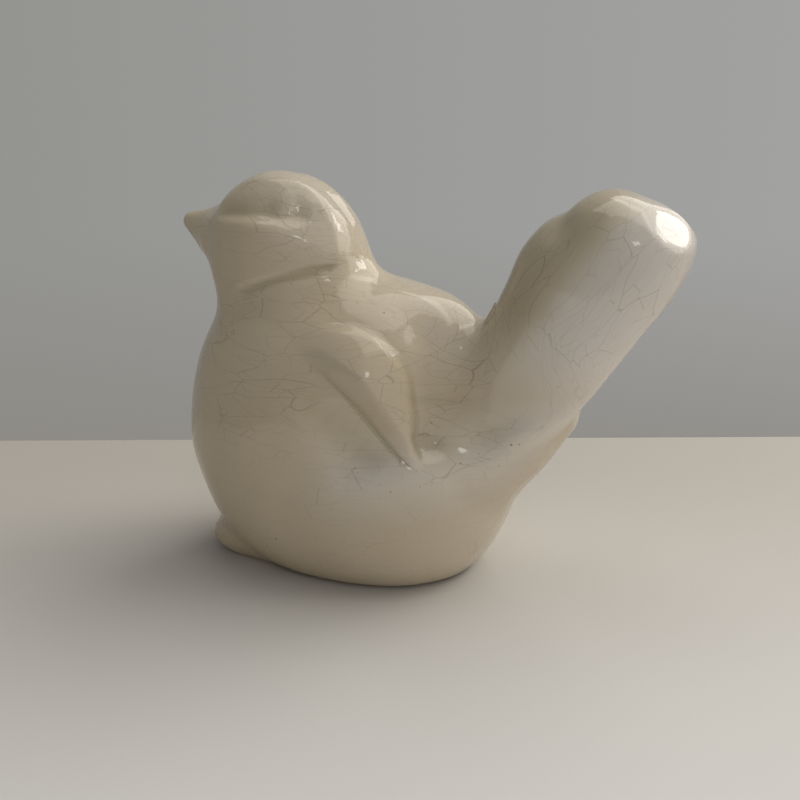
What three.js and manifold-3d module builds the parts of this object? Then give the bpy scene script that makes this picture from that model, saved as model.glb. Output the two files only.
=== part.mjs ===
// A hollow glazed ceramic bird: body, head, beak and tail are separate cast
// sections, with two wings and two feet laid on, and a bare foot ring below.
// Millimetres, +Z up, the beak towards -Y, the table at z = 0.
import * as THREE from "three";
import { mergeVertices } from "three/addons/utils/BufferGeometryUtils.js";
import Module from "manifold-3d";

const wasm = await Module();
wasm.setup();

// Clay
const WALL = 4.5; // thickness of the cast walls
const SLIP_LINE = 0.3; // line of slip between two sections
const WING_SLIP = 0.5; // bed of slip under a wing
const RING_HEIGHT = 1.0; // the foot ring lifts the glaze off the table
const RING_WIDTH = 4.0;
const RING_INSET = 1.5; // the ring stands back from the glazed edge
const VENT_RADIUS = 3.0;

// Belly, which carries the bird just above the table
const BELLY_HALF_WIDTH = 26.5;
const BELLY_HALF_LENGTH = 33.4;
const BELLY_HALF_HEIGHT = 21.2;
const BELLY_Y = -6.7;
const BELLY_Z = 14.4;
const BELLY_BLEND = 12.0;

// Breast and back, one tilted egg over the belly
const BODY_HALF_WIDTH = 31.0;
const BODY_HALF_LENGTH = 40.9;
const BODY_HALF_HEIGHT = 30.1;
const BODY_PITCH = 0.512;
const BODY_FORWARD = 3.5; // ahead of the belly
const BODY_RISE = 25.8; // above the belly

// Rump, from the belly up to the back
const RUMP_LOW_RADIUS = 28.5;
const RUMP_LOW_Y = 14.3; // behind the belly
const RUMP_LOW_Z = 8.2;
const RUMP_TOP_RADIUS = 10.8;
const RUMP_TOP_Y = 23.5;
const RUMP_TOP_Z = 41.8;
const RUMP_BLEND = 8.0;

// Head and neck
const HEAD_HALF_WIDTH = 17.0;
const HEAD_HALF_LENGTH = 18.4;
const HEAD_HALF_HEIGHT = 19.3;
const HEAD_PITCH = -0.09;
const HEAD_FORWARD = 14.5; // ahead of the body
const HEAD_RISE = 38.3; // above the body
const NECK_LOW_RADIUS = 26.3;
const NECK_LOW_Y = -9.5; // from the body
const NECK_LOW_Z = 6.4;
const NECK_TOP_RADIUS = 18.0;
const NECK_TOP_Y = 6.4; // from the head
const NECK_TOP_Z = -8.1;
const NECK_NARROWING = 1.14; // its depth over its width
const NECK_BLEND = 6.0;
const SHOULDER_BLEND = 7.0;

// Beak
const BEAK_ROOT_RADIUS = 6.4;
const BEAK_ROOT_Y = -16.8; // from the head
const BEAK_ROOT_Z = 3.5;
const BEAK_TIP_RADIUS = 2.5;
const BEAK_LENGTH = 7.9;
const BEAK_LIFT = 0.33; // angle above level
const BEAK_BLEND = 4.0;

// Tail, a paddle whose section is a rounded oblong
const TAIL_ANGLE = 0.954; // above level
const TAIL_LENGTH = 66.1;
const TAIL_ROOT_Y = 40.5; // from the body
const TAIL_ROOT_Z = -3.2;
const TAIL_ROOT_HALF_WIDTH = 14.5;
const TAIL_END_HALF_WIDTH = 17.5;
const TAIL_ROOT_HALF_DEPTH = 14.1;
const TAIL_END_HALF_DEPTH = 18.4;
const TAIL_CAP = 26.1; // length over which the end rounds off
const TAIL_SKEW = 0.366; // how far the end leans to the upper side
const TAIL_SQUARENESS = 2.6;
const TAIL_RUN_IN = 6.0; // how far the tail goes on into the rump
const TAIL_RUN_IN_BLEND = 7.0;
const TAIL_BLEND = 7.0;

// Covert, the cone under the tail that ends in a small lip
const COVERT_LOW_RADIUS = 14.8;
const COVERT_LOW_Y = 16.5; // from the belly
const COVERT_LOW_Z = 6.2;
const COVERT_END_RADIUS = 4.1;
const COVERT_END_Y = 17.2; // from the tail's root
const COVERT_END_Z = 4.4;
const COVERT_LOW_BLEND = 10.0;
const COVERT_LIP_BLEND = 2.5;
const COVERT_LIP_DROP = 14.0; // the blend tightens over this height

// Feet, two toe pads at the front
const FOOT_HALF_WIDTH = 7.6;
const FOOT_HALF_LENGTH = 12.6;
const FOOT_HALF_HEIGHT = 6.3;
const FOOT_APART = 8.4; // from the middle
const FOOT_FORWARD = 22.4; // ahead of the belly
const FOOT_Z = 5.0;

// Wings
const WING_RISE = 3.0; // height of the leaf over the flank
const WING_EDGE = 3.8; // width of its rolled edge
const WING_FRONT_SHARE = 0.3; // share of the rise left at the shoulder
const WING_PLANE = 0.7; // share of the body's half width

// Where the sections meet
const NECK_SEAM_SLOPE = 0.29; // the seam climbs towards the nape
const NECK_SEAM_DROP = 8.1; // below the middle of the head
const BEAK_SEAM = 1.8; // ahead of the beak's root
const TAIL_SEAM = 27.0; // up the tail from its root

// Lines pressed into the clay or raised on it. Each row is a place on its
// section, in shares of the section's half sizes from its middle, then the
// height in millimetres (below zero for a groove) and the width.
const BODY_LINES = [
  // the hollow behind each wing
  [
    [0.47, 0.15, 1.14, -0.2, 3.0],
    [0.45, 0.4, 1.01, -1.4, 3.5],
    [0.45, 0.59, 0.84, -3.0, 4.5],
    [0.5, 0.74, 0.62, -4.6, 5.5],
    [0.65, 0.81, 0.33, -5.2, 6.0],
    [0.73, 0.8, 0.06, -3.2, 4.5],
  ],
  // the dip below each wing
  [
    [0.92, 0.1, 0.29, -0.4, 5.0],
    [0.94, 0.25, 0.13, -1.6, 5.0],
    [0.9, 0.42, -0.09, -1.4, 5.0],
    [0.84, 0.54, -0.24, -0.4, 4.0],
  ],
  // the flank's ridge, from the wing tip to the covert
  [
    [0.87, 0.35, -0.34, 0.0, 4.0],
    [0.85, 0.54, -0.32, 1.2, 3.6],
    [0.73, 0.8, -0.29, 2.0, 3.8],
    [0.53, 1.06, -0.21, 2.0, 3.4],
    [0.44, 1.25, -0.01, 1.6, 3.0],
    [0.34, 1.44, 0.18, 0.6, 2.6],
  ],
];
const HEAD_LINES = [
  // the crease round the neck
  [
    [1.32, -0.34, -0.62, 0.0, 1.6],
    [1.24, 0.04, -0.44, -1.2, 1.4],
    [1.14, 0.43, -0.27, -1.9, 1.4],
    [0.91, 0.78, -0.16, -1.9, 1.4],
    [0.53, 1.11, -0.12, -1.3, 1.4],
    [0.24, 1.26, -0.13, 0.0, 1.4],
  ],
  // eye socket
  [
    [0.62, -0.59, 0.49, -0.6, 2.2],
    [0.76, -0.23, 0.54, -1.9, 2.6],
    [0.8, 0.15, 0.59, -2.3, 3.0],
    [0.74, 0.53, 0.59, -1.8, 2.8],
    [0.65, 0.77, 0.52, -0.3, 2.2],
  ],
  // eye
  [
    [0.72, 0.36, 0.59, 1.8, 2.1],
    [0.71, 0.43, 0.59, 1.8, 2.1],
  ],
  // brow
  [
    [0.56, -0.34, 0.78, 0.1, 2.4],
    [0.43, -0.13, 0.85, 0.7, 2.6],
    [0.34, 0.42, 0.84, 0.9, 2.6],
    [0.29, 0.8, 0.62, 0.8, 2.6],
    [0.29, 1.02, 0.36, 0.7, 2.4],
    [0.38, 1.12, 0.05, 0.5, 2.0],
  ],
  // cheek
  [
    [0.21, -0.99, 0.37, 0.2, 1.6],
    [0.62, -0.56, 0.39, 0.9, 2.2],
    [0.85, -0.13, 0.4, 1.1, 2.4],
    [0.91, 0.26, 0.4, 1.0, 2.6],
    [0.78, 0.69, 0.34, 0.7, 2.6],
    [0.56, 0.99, 0.18, 0.3, 2.6],
  ],
];
// On the tail the shares are across it, along it and through it.
const TAIL_LINES = [
  // notch in the end
  [
    [0.0, 0.82, 0.98, -1.0, 3.6],
    [0.74, 0.81, 0.95, -1.0, 3.6],
  ],
  // rim of the end
  [
    [0.0, 0.97, 0.61, 0.8, 6.0],
    [0.69, 0.95, 0.58, 0.8, 6.0],
  ],
  // upper edge
  [
    [0.0, 0.64, 1.16, 0.6, 6.0],
    [0.69, 0.64, 1.16, 0.6, 6.0],
  ],
];
// The leaf's outline seen from the side, from the shoulder over the top.
const WING_OUTLINE = [
  [-0.41, 0.74],
  [-0.26, 0.87],
  [-0.02, 0.92],
  [0.18, 0.91],
  [0.37, 0.84],
  [0.54, 0.67],
  [0.67, 0.44],
  [0.72, 0.19],
  [0.71, -0.04],
  [0.67, -0.22],
  [0.57, -0.15],
  [0.42, 0.04],
  [0.25, 0.28],
  [0.05, 0.48],
  [-0.19, 0.61],
];
const WING_CORE = [0.27, 0.57]; // the leaf's middle
const WING_FADE = [-0.3, 0.3]; // the rise grows from the shoulder to here

// Fineness of the surfaces
const BODY_DETAIL = 12;
const HEAD_DETAIL = 9;
const TAIL_DETAIL = 9;
const BEAK_DETAIL = 5;
const CAVITY_DETAIL = 6;
const RING_POINTS = 48;
const WING_SIDES = 48;
const WING_BANDS = 14;
const LINE_STEPS = 4; // steps between two given places of a line

const FOOT_SIDES = 24;
const FOOT_BANDS = 16;
const VENT_SIDES = 32;

const REACH = 300; // well outside the bird
const OVERRUN = 8.0; // a section is formed this far past its seam, then cut there
const CAVITY_OVERRUN = 12.0; // so that the cut leaves the hollow open
const SLOPE_STEP = 0.05; // for finding which way the surface faces
const SAME_POINT = 1e-4;
const MARCH = 0.8; // step along a ray
const NARROWING = 14; // halvings that find the surface on a ray
const STRIDE = 0.6; // share of the known distance that one step takes
const FADE_OUT = 3; // widths from a line at which nothing is left of it

const GLAZE = new THREE.MeshStandardMaterial({ color: 0xddd3bd, roughness: 0.14, metalness: 0 });
const BARE_CLAY = new THREE.MeshStandardMaterial({ color: 0xd9cdb8, roughness: 0.85, metalness: 0 });

// Middles of the sections
const belly = [0, BELLY_Y, BELLY_Z];
const body = [0, belly[1] - BODY_FORWARD, belly[2] + BODY_RISE];
const head = [0, body[1] - HEAD_FORWARD, body[2] + HEAD_RISE];
const tailRoot = [0, body[1] + TAIL_ROOT_Y, body[2] + TAIL_ROOT_Z];
const beakRoot = [0, head[1] + BEAK_ROOT_Y, head[2] + BEAK_ROOT_Z];
const beakAxis = [0, -Math.cos(BEAK_LIFT), Math.sin(BEAK_LIFT)];
const tailAxis = [0, Math.cos(TAIL_ANGLE), Math.sin(TAIL_ANGLE)];
const tailUp = [0, -Math.sin(TAIL_ANGLE), Math.cos(TAIL_ANGLE)];

const along = (start, axis, length) => [
  start[0] + axis[0] * length,
  start[1] + axis[1] * length,
  start[2] + axis[2] * length,
];
const offset = (start, y, z) => [start[0], start[1] + y, start[2] + z];
const clamp = (value, low, high) => Math.min(high, Math.max(low, value));
const mix = (a, b, t) => a + (b - a) * t;

function ease(low, high, value) {
  const t = clamp((value - low) / (high - low), 0, 1);
  return t * t * (3 - 2 * t);
}

// Joins two distances with a fillet of the given size.
function blend(a, b, size) {
  const t = clamp(0.5 + (0.5 * (b - a)) / size, 0, 1);
  return mix(b, a, t) - size * t * (1 - t);
}

function ellipsoid(p, middle, halfWidth, halfLength, halfHeight, pitch) {
  const dy = p[1] - middle[1];
  const dz = p[2] - middle[2];
  const x = (p[0] - middle[0]) / halfWidth;
  const y = (Math.cos(pitch) * dy + Math.sin(pitch) * dz) / halfLength;
  const z = (Math.cos(pitch) * dz - Math.sin(pitch) * dy) / halfHeight;
  const near = Math.hypot(x, y, z);
  const slope = Math.hypot(x / halfWidth, y / halfLength, z / halfHeight);
  return (near * (near - 1)) / Math.max(slope, 1e-9);
}

// A cone with a ball at each end.
function roundCone(p, low, high, lowRadius, highRadius) {
  const axisY = high[1] - low[1];
  const axisZ = high[2] - low[2];
  const rise = lowRadius - highRadius;
  const squared = axisY * axisY + axisZ * axisZ;
  const slant = squared - rise * rise;
  const fromY = p[1] - low[1];
  const fromZ = p[2] - low[2];
  const y = fromY * axisY + fromZ * axisZ;
  const z = y - squared;
  const acrossY = fromY * squared - axisY * y;
  const acrossZ = fromZ * squared - axisZ * y;
  const x2 = (p[0] * squared) ** 2 + acrossY ** 2 + acrossZ ** 2;
  const y2 = y * y * squared;
  const z2 = z * z * squared;
  const edge = Math.sign(rise) * rise * rise * x2;
  if (Math.sign(z) * slant * z2 > edge) {
    return Math.sqrt(x2 + z2) / squared - highRadius;
  }
  if (Math.sign(y) * slant * y2 < edge) {
    return Math.sqrt(x2 + y2) / squared - lowRadius;
  }
  return (Math.sqrt(Math.max((x2 * slant) / squared, 0)) + y * rise) / squared - lowRadius;
}

function tailForm(p) {
  const dy = p[1] - tailRoot[1];
  const dz = p[2] - tailRoot[2];
  const t = dy * tailAxis[1] + dz * tailAxis[2];
  const s = dy * tailUp[1] + dz * tailUp[2];
  const share = ease(0, TAIL_LENGTH, t);
  const width = mix(TAIL_ROOT_HALF_WIDTH, TAIL_END_HALF_WIDTH, share);
  const depth = mix(TAIL_ROOT_HALF_DEPTH, TAIL_END_HALF_DEPTH, share);
  const through = s - (depth - TAIL_ROOT_HALF_DEPTH);
  const capStart = TAIL_LENGTH - TAIL_CAP;
  const past = Math.max(0, (t - capStart + TAIL_SKEW * through) / TAIL_CAP);
  const sum =
    Math.abs(p[0] / width) ** TAIL_SQUARENESS +
    Math.abs(through / depth) ** TAIL_SQUARENESS +
    past ** TAIL_SQUARENESS;
  const side = (sum ** (1 / TAIL_SQUARENESS) - 1) * Math.min(width, depth);
  return -blend(-side, t + TAIL_RUN_IN, TAIL_RUN_IN_BLEND);
}

const rumpLow = offset(belly, RUMP_LOW_Y, RUMP_LOW_Z);
const rumpTop = offset(belly, RUMP_TOP_Y, RUMP_TOP_Z);
const neckLow = offset(body, NECK_LOW_Y, NECK_LOW_Z);
const neckTop = offset(head, NECK_TOP_Y, NECK_TOP_Z);
const beakTip = along(beakRoot, beakAxis, BEAK_LENGTH);
const covertLow = offset(belly, COVERT_LOW_Y, COVERT_LOW_Z);
const covertEnd = offset(tailRoot, COVERT_END_Y, COVERT_END_Z);

// Distance to the bird's smooth form, below zero inside the clay.
function form(p) {
  const low = ellipsoid(p, belly, BELLY_HALF_WIDTH, BELLY_HALF_LENGTH, BELLY_HALF_HEIGHT, 0);
  const egg = ellipsoid(p, body, BODY_HALF_WIDTH, BODY_HALF_LENGTH, BODY_HALF_HEIGHT, BODY_PITCH);
  const rump = roundCone(p, rumpLow, rumpTop, RUMP_LOW_RADIUS, RUMP_TOP_RADIUS);
  const covert = roundCone(p, covertLow, covertEnd, COVERT_LOW_RADIUS, COVERT_END_RADIUS);
  const skull = ellipsoid(p, head, HEAD_HALF_WIDTH, HEAD_HALF_LENGTH, HEAD_HALF_HEIGHT, HEAD_PITCH);
  const slim = [p[0] * NECK_NARROWING, p[1], p[2]];
  const neck = roundCone(slim, neckLow, neckTop, NECK_LOW_RADIUS, NECK_TOP_RADIUS);
  const beak = roundCone(p, beakRoot, beakTip, BEAK_ROOT_RADIUS, BEAK_TIP_RADIUS);
  const lip = ease(covertEnd[2] - COVERT_LIP_DROP, covertEnd[2], p[2]);
  const covertBlend = mix(COVERT_LOW_BLEND, COVERT_LIP_BLEND, lip);
  const trunk = blend(blend(egg, low, BELLY_BLEND), rump, RUMP_BLEND);
  const tailed = blend(blend(trunk, tailForm(p), TAIL_BLEND), covert, covertBlend);
  const top = blend(blend(skull, neck, NECK_BLEND), beak, BEAK_BLEND);
  return blend(tailed, top, SHOULDER_BLEND);
}

// First point where a ray from inside the clay comes out of it.
function cast(field, core, direction) {
  let inside = 0;
  let outside = MARCH;
  let depth = field(along(core, direction, outside));
  while (depth < 0) {
    inside = outside;
    outside += Math.max(MARCH, -depth * STRIDE);
    depth = field(along(core, direction, outside));
  }
  for (let i = 0; i < NARROWING; i += 1) {
    const half = (inside + outside) / 2;
    if (field(along(core, direction, half)) < 0) {
      inside = half;
    } else {
      outside = half;
    }
  }
  return along(core, direction, outside);
}

function towards(core, target) {
  const gap = target.map((value, i) => value - core[i]);
  const length = Math.hypot(...gap);
  return gap.map((value) => value / length);
}

// Seats the places of a line on the smooth form and fills in between them.
function seatLine(rows, core, place) {
  const seats = rows.map((row) => {
    const target = place(row);
    return new THREE.Vector3(...cast(form, core, towards(core, target)));
  });
  const curve = new THREE.CatmullRomCurve3(seats, false, "catmullrom", 0.5);
  const steps = (rows.length - 1) * LINE_STEPS;
  const places = Array.from({ length: steps + 1 }, (_, i) => {
    const at = Math.min(Math.floor(i / LINE_STEPS), rows.length - 2);
    const share = i / LINE_STEPS - at;
    return {
      point: curve.getPoint(i / steps).toArray(),
      height: mix(rows[at][3], rows[at + 1][3], share),
      width: mix(rows[at][4], rows[at + 1][4], share),
    };
  });
  const around = new THREE.Sphere().setFromPoints(seats);
  const widest = Math.max(...rows.map((row) => row[4]));
  return { places, middle: around.center.toArray(), reach: around.radius + widest * FADE_OUT };
}

const tailCore = along(tailRoot, tailAxis, TAIL_LENGTH / 2);
const onBody = (row) => [
  body[0] + row[0] * BODY_HALF_WIDTH,
  body[1] + row[1] * BODY_HALF_LENGTH,
  body[2] + row[2] * BODY_HALF_HEIGHT,
];
const onHead = (row) => [
  head[0] + row[0] * HEAD_HALF_WIDTH,
  head[1] + row[1] * HEAD_HALF_LENGTH,
  head[2] + row[2] * HEAD_HALF_HEIGHT,
];
const onTail = (row) => {
  const lengthways = along(tailRoot, tailAxis, row[1] * TAIL_LENGTH);
  const place = along(lengthways, tailUp, row[2] * TAIL_END_HALF_DEPTH);
  return [row[0] * TAIL_END_HALF_WIDTH, place[1], place[2]];
};
// The rays for the body start low in the rump, from where all of it shows.
const bodyCore = offset(body, BODY_HALF_LENGTH / 2, -BODY_HALF_HEIGHT / 2);
const reliefLines = [
  ...BODY_LINES.map((rows) => seatLine(rows, bodyCore, onBody)),
  ...HEAD_LINES.map((rows) => seatLine(rows, head, onHead)),
  ...TAIL_LINES.map((rows) => seatLine(rows, tailCore, onTail)),
];

// Height that one line adds at a point, by its distance from the line.
function lineHeight(p, { places, middle, reach }) {
  if (Math.hypot(p[0] - middle[0], p[1] - middle[1], p[2] - middle[2]) > reach) {
    return 0;
  }
  let nearest = Infinity;
  let height = 0;
  let width = 1;
  for (let i = 1; i < places.length; i += 1) {
    const a = places[i - 1];
    const b = places[i];
    const runX = b.point[0] - a.point[0];
    const runY = b.point[1] - a.point[1];
    const runZ = b.point[2] - a.point[2];
    const x = p[0] - a.point[0];
    const y = p[1] - a.point[1];
    const z = p[2] - a.point[2];
    const squared = runX * runX + runY * runY + runZ * runZ;
    const share = clamp((x * runX + y * runY + z * runZ) / squared, 0, 1);
    const distance = (x - runX * share) ** 2 + (y - runY * share) ** 2 + (z - runZ * share) ** 2;
    if (distance < nearest) {
      nearest = distance;
      height = mix(a.height, b.height, share);
      width = mix(a.width, b.width, share);
    }
  }
  return height * Math.exp(-nearest / (width * width));
}

// The bird with its relief. Left and right are alike.
function birdForm(p) {
  const plain = form(p);
  const mirrored = [Math.abs(p[0]), p[1], p[2]];
  return reliefLines.reduce((sum, line) => sum - lineHeight(mirrored, line), plain);
}

const cavityForm = (p) => Math.max(form(p) + WALL, RING_HEIGHT + WALL - p[2]);

function outward(field, p) {
  const slope = [0, 1, 2].map((i) => {
    const ahead = [...p];
    const behind = [...p];
    ahead[i] += SLOPE_STEP;
    behind[i] -= SLOPE_STEP;
    return field(ahead) - field(behind);
  });
  const length = Math.hypot(...slope);
  return slope.map((value) => value / length);
}

function toManifold(geometry) {
  const bare = geometry.clone();
  bare.deleteAttribute("normal");
  bare.deleteAttribute("uv");
  const merged = mergeVertices(bare, SAME_POINT);
  return new wasm.Manifold(
    new wasm.Mesh({
      numProp: 3,
      vertProperties: new Float32Array(merged.attributes.position.array),
      triVerts: new Uint32Array(merged.index.array),
    }),
  );
}

function toGeometry(solid) {
  const mesh = solid.getMesh();
  const geometry = new THREE.BufferGeometry();
  geometry.setAttribute("position", new THREE.BufferAttribute(mesh.vertProperties, 3));
  geometry.setIndex(new THREE.BufferAttribute(mesh.triVerts, 1));
  geometry.computeVertexNormals();
  return geometry;
}

// Turns a ball into the surface that rays from the core reach. The ball is
// drawn out first, so that a long section gets evenly sized facets.
function castSolid(field, core, detail, stretch) {
  const geometry = new THREE.IcosahedronGeometry(1, detail);
  const position = geometry.attributes.position;
  for (let i = 0; i < position.count; i += 1) {
    const ball = [position.getX(i), position.getY(i), position.getZ(i)];
    const target = stretch(ball);
    position.setXYZ(i, ...cast(field, core, towards(core, target)));
  }
  return toManifold(geometry);
}

const round = (core) => (ball) => core.map((value, i) => value + ball[i]);
const alongTail = (ball) => {
  const lengthways = along(tailCore, tailAxis, (ball[1] * TAIL_LENGTH) / 2);
  const place = along(lengthways, tailUp, ball[2] * TAIL_END_HALF_DEPTH);
  return [ball[0] * TAIL_END_HALF_WIDTH, place[1], place[2]];
};

// All space on the far side of a plane, as a large block.
function beyond(point, normal) {
  const block = new THREE.BoxGeometry(REACH, REACH, REACH);
  block.translate(0, 0, REACH / 2);
  const turn = new THREE.Quaternion();
  turn.setFromUnitVectors(new THREE.Vector3(0, 0, 1), new THREE.Vector3(...normal));
  block.applyQuaternion(turn);
  block.translate(...point);
  return toManifold(block);
}

// Seams
const neckNormal = towards([0, 0, 0], [0, -NECK_SEAM_SLOPE, 1]);
const neckPoint = offset(head, 0, -NECK_SEAM_DROP);
const tailPoint = along(tailRoot, tailAxis, TAIL_SEAM);
const beakPoint = along(beakRoot, beakAxis, BEAK_SEAM);
const past = (point, normal) => beyond(along(point, normal, SLIP_LINE), normal);
const reverse = (normal) => normal.map((value) => -value);

// The same form, ended a little past a seam.
const endedAt = (field, point, normal, overrun) => (p) => {
  const depth = p.reduce((sum, value, i) => sum + (value - point[i]) * normal[i], -overrun);
  return Math.max(field(p), depth);
};

const ventLength = (RING_HEIGHT + WALL) * 3;
const ventHole = new THREE.CylinderGeometry(VENT_RADIUS, VENT_RADIUS, ventLength, VENT_SIDES);
ventHole.rotateX(Math.PI / 2);
ventHole.translate(belly[0], belly[1], 0);

const bodyField = (field, overrun) =>
  endedAt(endedAt(field, neckPoint, neckNormal, overrun), tailPoint, tailAxis, overrun);
const headField = (field, overrun) =>
  endedAt(endedAt(field, neckPoint, reverse(neckNormal), overrun), beakPoint, beakAxis, overrun);
const tailField = (field, overrun) => endedAt(field, tailPoint, reverse(tailAxis), overrun);
const beakField = endedAt(birdForm, beakPoint, reverse(beakAxis), OVERRUN);

const bodyShell = castSolid(bodyField(birdForm, OVERRUN), bodyCore, BODY_DETAIL, round(bodyCore))
  .subtract(
    castSolid(bodyField(cavityForm, CAVITY_OVERRUN), bodyCore, CAVITY_DETAIL, round(bodyCore)),
  )
  .subtract(beyond(neckPoint, neckNormal))
  .subtract(beyond(tailPoint, tailAxis))
  .subtract(beyond([0, 0, RING_HEIGHT], [0, 0, -1]))
  .subtract(toManifold(ventHole));

const headShell = castSolid(headField(birdForm, OVERRUN), head, HEAD_DETAIL, round(head))
  .subtract(castSolid(headField(cavityForm, CAVITY_OVERRUN), head, CAVITY_DETAIL, round(head)))
  .intersect(past(neckPoint, neckNormal))
  .subtract(beyond(beakPoint, beakAxis));

const beakSolid = castSolid(beakField, beakRoot, BEAK_DETAIL, (ball) => [
  ball[0] * BEAK_ROOT_RADIUS,
  beakRoot[1] + ball[1] * (BEAK_LENGTH + BEAK_TIP_RADIUS),
  beakRoot[2] + ball[2] * BEAK_ROOT_RADIUS,
]).intersect(past(beakPoint, beakAxis));

const tailShell = castSolid(tailField(birdForm, OVERRUN), tailCore, TAIL_DETAIL, alongTail)
  .subtract(castSolid(tailField(cavityForm, CAVITY_OVERRUN), tailCore, CAVITY_DETAIL, alongTail))
  .intersect(past(tailPoint, tailAxis));

// Each wing is a leaf-shaped lens. One half of the ball gives its outer face
// and the other half the face that lies on the flank.
const leafCurve = new THREE.CatmullRomCurve3(
  WING_OUTLINE.map((row) => new THREE.Vector3(row[0], row[1], 0)),
  true,
  "catmullrom",
  0.5,
);
const leafRim = leafCurve.getPoints(WING_SIDES).map((point) => [point.x, point.y]);

// Millimetres from a place on the leaf to the nearest part of its rim.
function rimDistance(y, z) {
  return leafRim.slice(1).reduce((nearest, end, i) => {
    const start = leafRim[i];
    const runY = (end[0] - start[0]) * BODY_HALF_LENGTH;
    const runZ = (end[1] - start[1]) * BODY_HALF_HEIGHT;
    const fromY = (y - start[0]) * BODY_HALF_LENGTH;
    const fromZ = (z - start[1]) * BODY_HALF_HEIGHT;
    const share = clamp((fromY * runY + fromZ * runZ) / (runY * runY + runZ * runZ), 0, 1);
    return Math.min(nearest, Math.hypot(fromY - runY * share, fromZ - runZ * share));
  }, Infinity);
}

// Height of a rounded edge, as a share, at a share of the edge's width.
const rounded = (share) => Math.sqrt(1 - (1 - clamp(share, 0, 1)) ** 2);

// The rim's places run clockwise, one for each side of the ball.
function rimBeside(angle) {
  const side = Math.round((-angle / (Math.PI * 2)) * WING_SIDES);
  return leafRim[(side + WING_SIDES) % WING_SIDES];
}

function wingSolid(side) {
  const geometry = new THREE.SphereGeometry(1, WING_SIDES, WING_BANDS);
  geometry.rotateX(Math.PI / 2);
  const position = geometry.attributes.position;
  for (let i = 0; i < position.count; i += 1) {
    const ball = [position.getX(i), position.getY(i), position.getZ(i)];
    const reach = Math.min(1, Math.hypot(ball[0], ball[1]));
    const edge = rimBeside(Math.atan2(ball[1], ball[0]));
    const y = mix(WING_CORE[0], edge[0], reach);
    const z = mix(WING_CORE[1], edge[1], reach);
    const seat = cast(birdForm, body, towards(body, onBody([WING_PLANE, y, z])));
    const rise = WING_RISE * mix(WING_FRONT_SHARE, 1, ease(WING_FADE[0], WING_FADE[1], y));
    const thick = reach < 1 ? rise * rounded(rimDistance(y, z) / WING_EDGE) : 0;
    const lift = WING_SLIP + (ball[2] * side > 0 ? thick : 0);
    const place = along(seat, outward(form, seat), lift);
    position.setXYZ(i, place[0] * side, place[1], place[2]);
  }
  return toManifold(geometry);
}

// Each foot is a flat-soled pad that the breast rests against.
const breastGap = castSolid(
  (p) => birdForm(p) - SLIP_LINE,
  bodyCore,
  BODY_DETAIL,
  round(bodyCore),
);

function footSolid(side) {
  const pad = new THREE.SphereGeometry(1, FOOT_SIDES, FOOT_BANDS);
  pad.scale(FOOT_HALF_WIDTH, FOOT_HALF_LENGTH, FOOT_HALF_HEIGHT);
  pad.translate(FOOT_APART * side, belly[1] - FOOT_FORWARD, FOOT_Z);
  return toManifold(pad).subtract(breastGap).subtract(beyond([0, 0, 0], [0, 0, -1]));
}

// The foot ring follows the bird's outline at the table.
function ringGeometry() {
  const middle = [0, belly[1], RING_HEIGHT];
  const loop = (inset) => {
    const field = (p) => birdForm(p) + inset;
    return Array.from({ length: RING_POINTS }, (_, i) => {
      const angle = (i / RING_POINTS) * Math.PI * 2;
      const edge = cast(field, middle, [Math.cos(angle), Math.sin(angle), 0]);
      return new THREE.Vector2(edge[0], edge[1]);
    });
  };
  const shape = new THREE.Shape(loop(RING_INSET));
  shape.holes.push(new THREE.Path(loop(RING_INSET + RING_WIDTH)));
  return new THREE.ExtrudeGeometry(shape, { depth: RING_HEIGHT, bevelEnabled: false });
}

const bird = new THREE.Group();

function addPiece(name, geometry, material) {
  const mesh = new THREE.Mesh(geometry, material);
  mesh.name = name;
  bird.add(mesh);
}

addPiece("body_shell", toGeometry(bodyShell), GLAZE);
addPiece("head_shell", toGeometry(headShell), GLAZE);
addPiece("beak", toGeometry(beakSolid), GLAZE);
addPiece("tail_shell", toGeometry(tailShell), GLAZE);
addPiece("wing_left", toGeometry(wingSolid(1)), GLAZE);
addPiece("wing_right", toGeometry(wingSolid(-1)), GLAZE);
addPiece("foot_left", toGeometry(footSolid(1)), GLAZE);
addPiece("foot_right", toGeometry(footSolid(-1)), GLAZE);
addPiece("foot_ring", toGeometry(toManifold(ringGeometry())), BARE_CLAY);

// The origin is on the table, below the middle of the bird.
const extent = new THREE.Box3().setFromObject(bird);
bird.position.y = -(extent.min.y + extent.max.y) / 2;

export default bird;
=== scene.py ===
"""Looks of the glazed ceramic bird: its crazed skin, bare foot and the studio round it."""

import logging
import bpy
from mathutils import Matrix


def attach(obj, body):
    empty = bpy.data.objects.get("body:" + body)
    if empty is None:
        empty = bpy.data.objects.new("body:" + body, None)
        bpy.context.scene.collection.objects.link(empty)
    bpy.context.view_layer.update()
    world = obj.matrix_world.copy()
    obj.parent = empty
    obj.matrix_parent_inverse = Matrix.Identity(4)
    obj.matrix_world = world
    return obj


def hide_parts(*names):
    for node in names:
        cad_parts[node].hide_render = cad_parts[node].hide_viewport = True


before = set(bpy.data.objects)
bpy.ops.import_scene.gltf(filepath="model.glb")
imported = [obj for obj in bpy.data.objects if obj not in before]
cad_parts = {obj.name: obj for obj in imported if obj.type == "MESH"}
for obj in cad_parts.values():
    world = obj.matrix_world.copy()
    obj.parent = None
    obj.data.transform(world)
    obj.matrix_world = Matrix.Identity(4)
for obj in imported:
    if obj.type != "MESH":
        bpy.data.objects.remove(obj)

from concurrent.futures import ThreadPoolExecutor
from dataclasses import dataclass, field
from enum import Enum
from math import cos, pi, radians, sin
from typing import Callable, Sequence

import bmesh
import bpy
import numpy as np
from mathutils import Vector

logging.basicConfig(level=logging.INFO, format="%(message)s")
log = logging.getLogger("bird")

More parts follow.
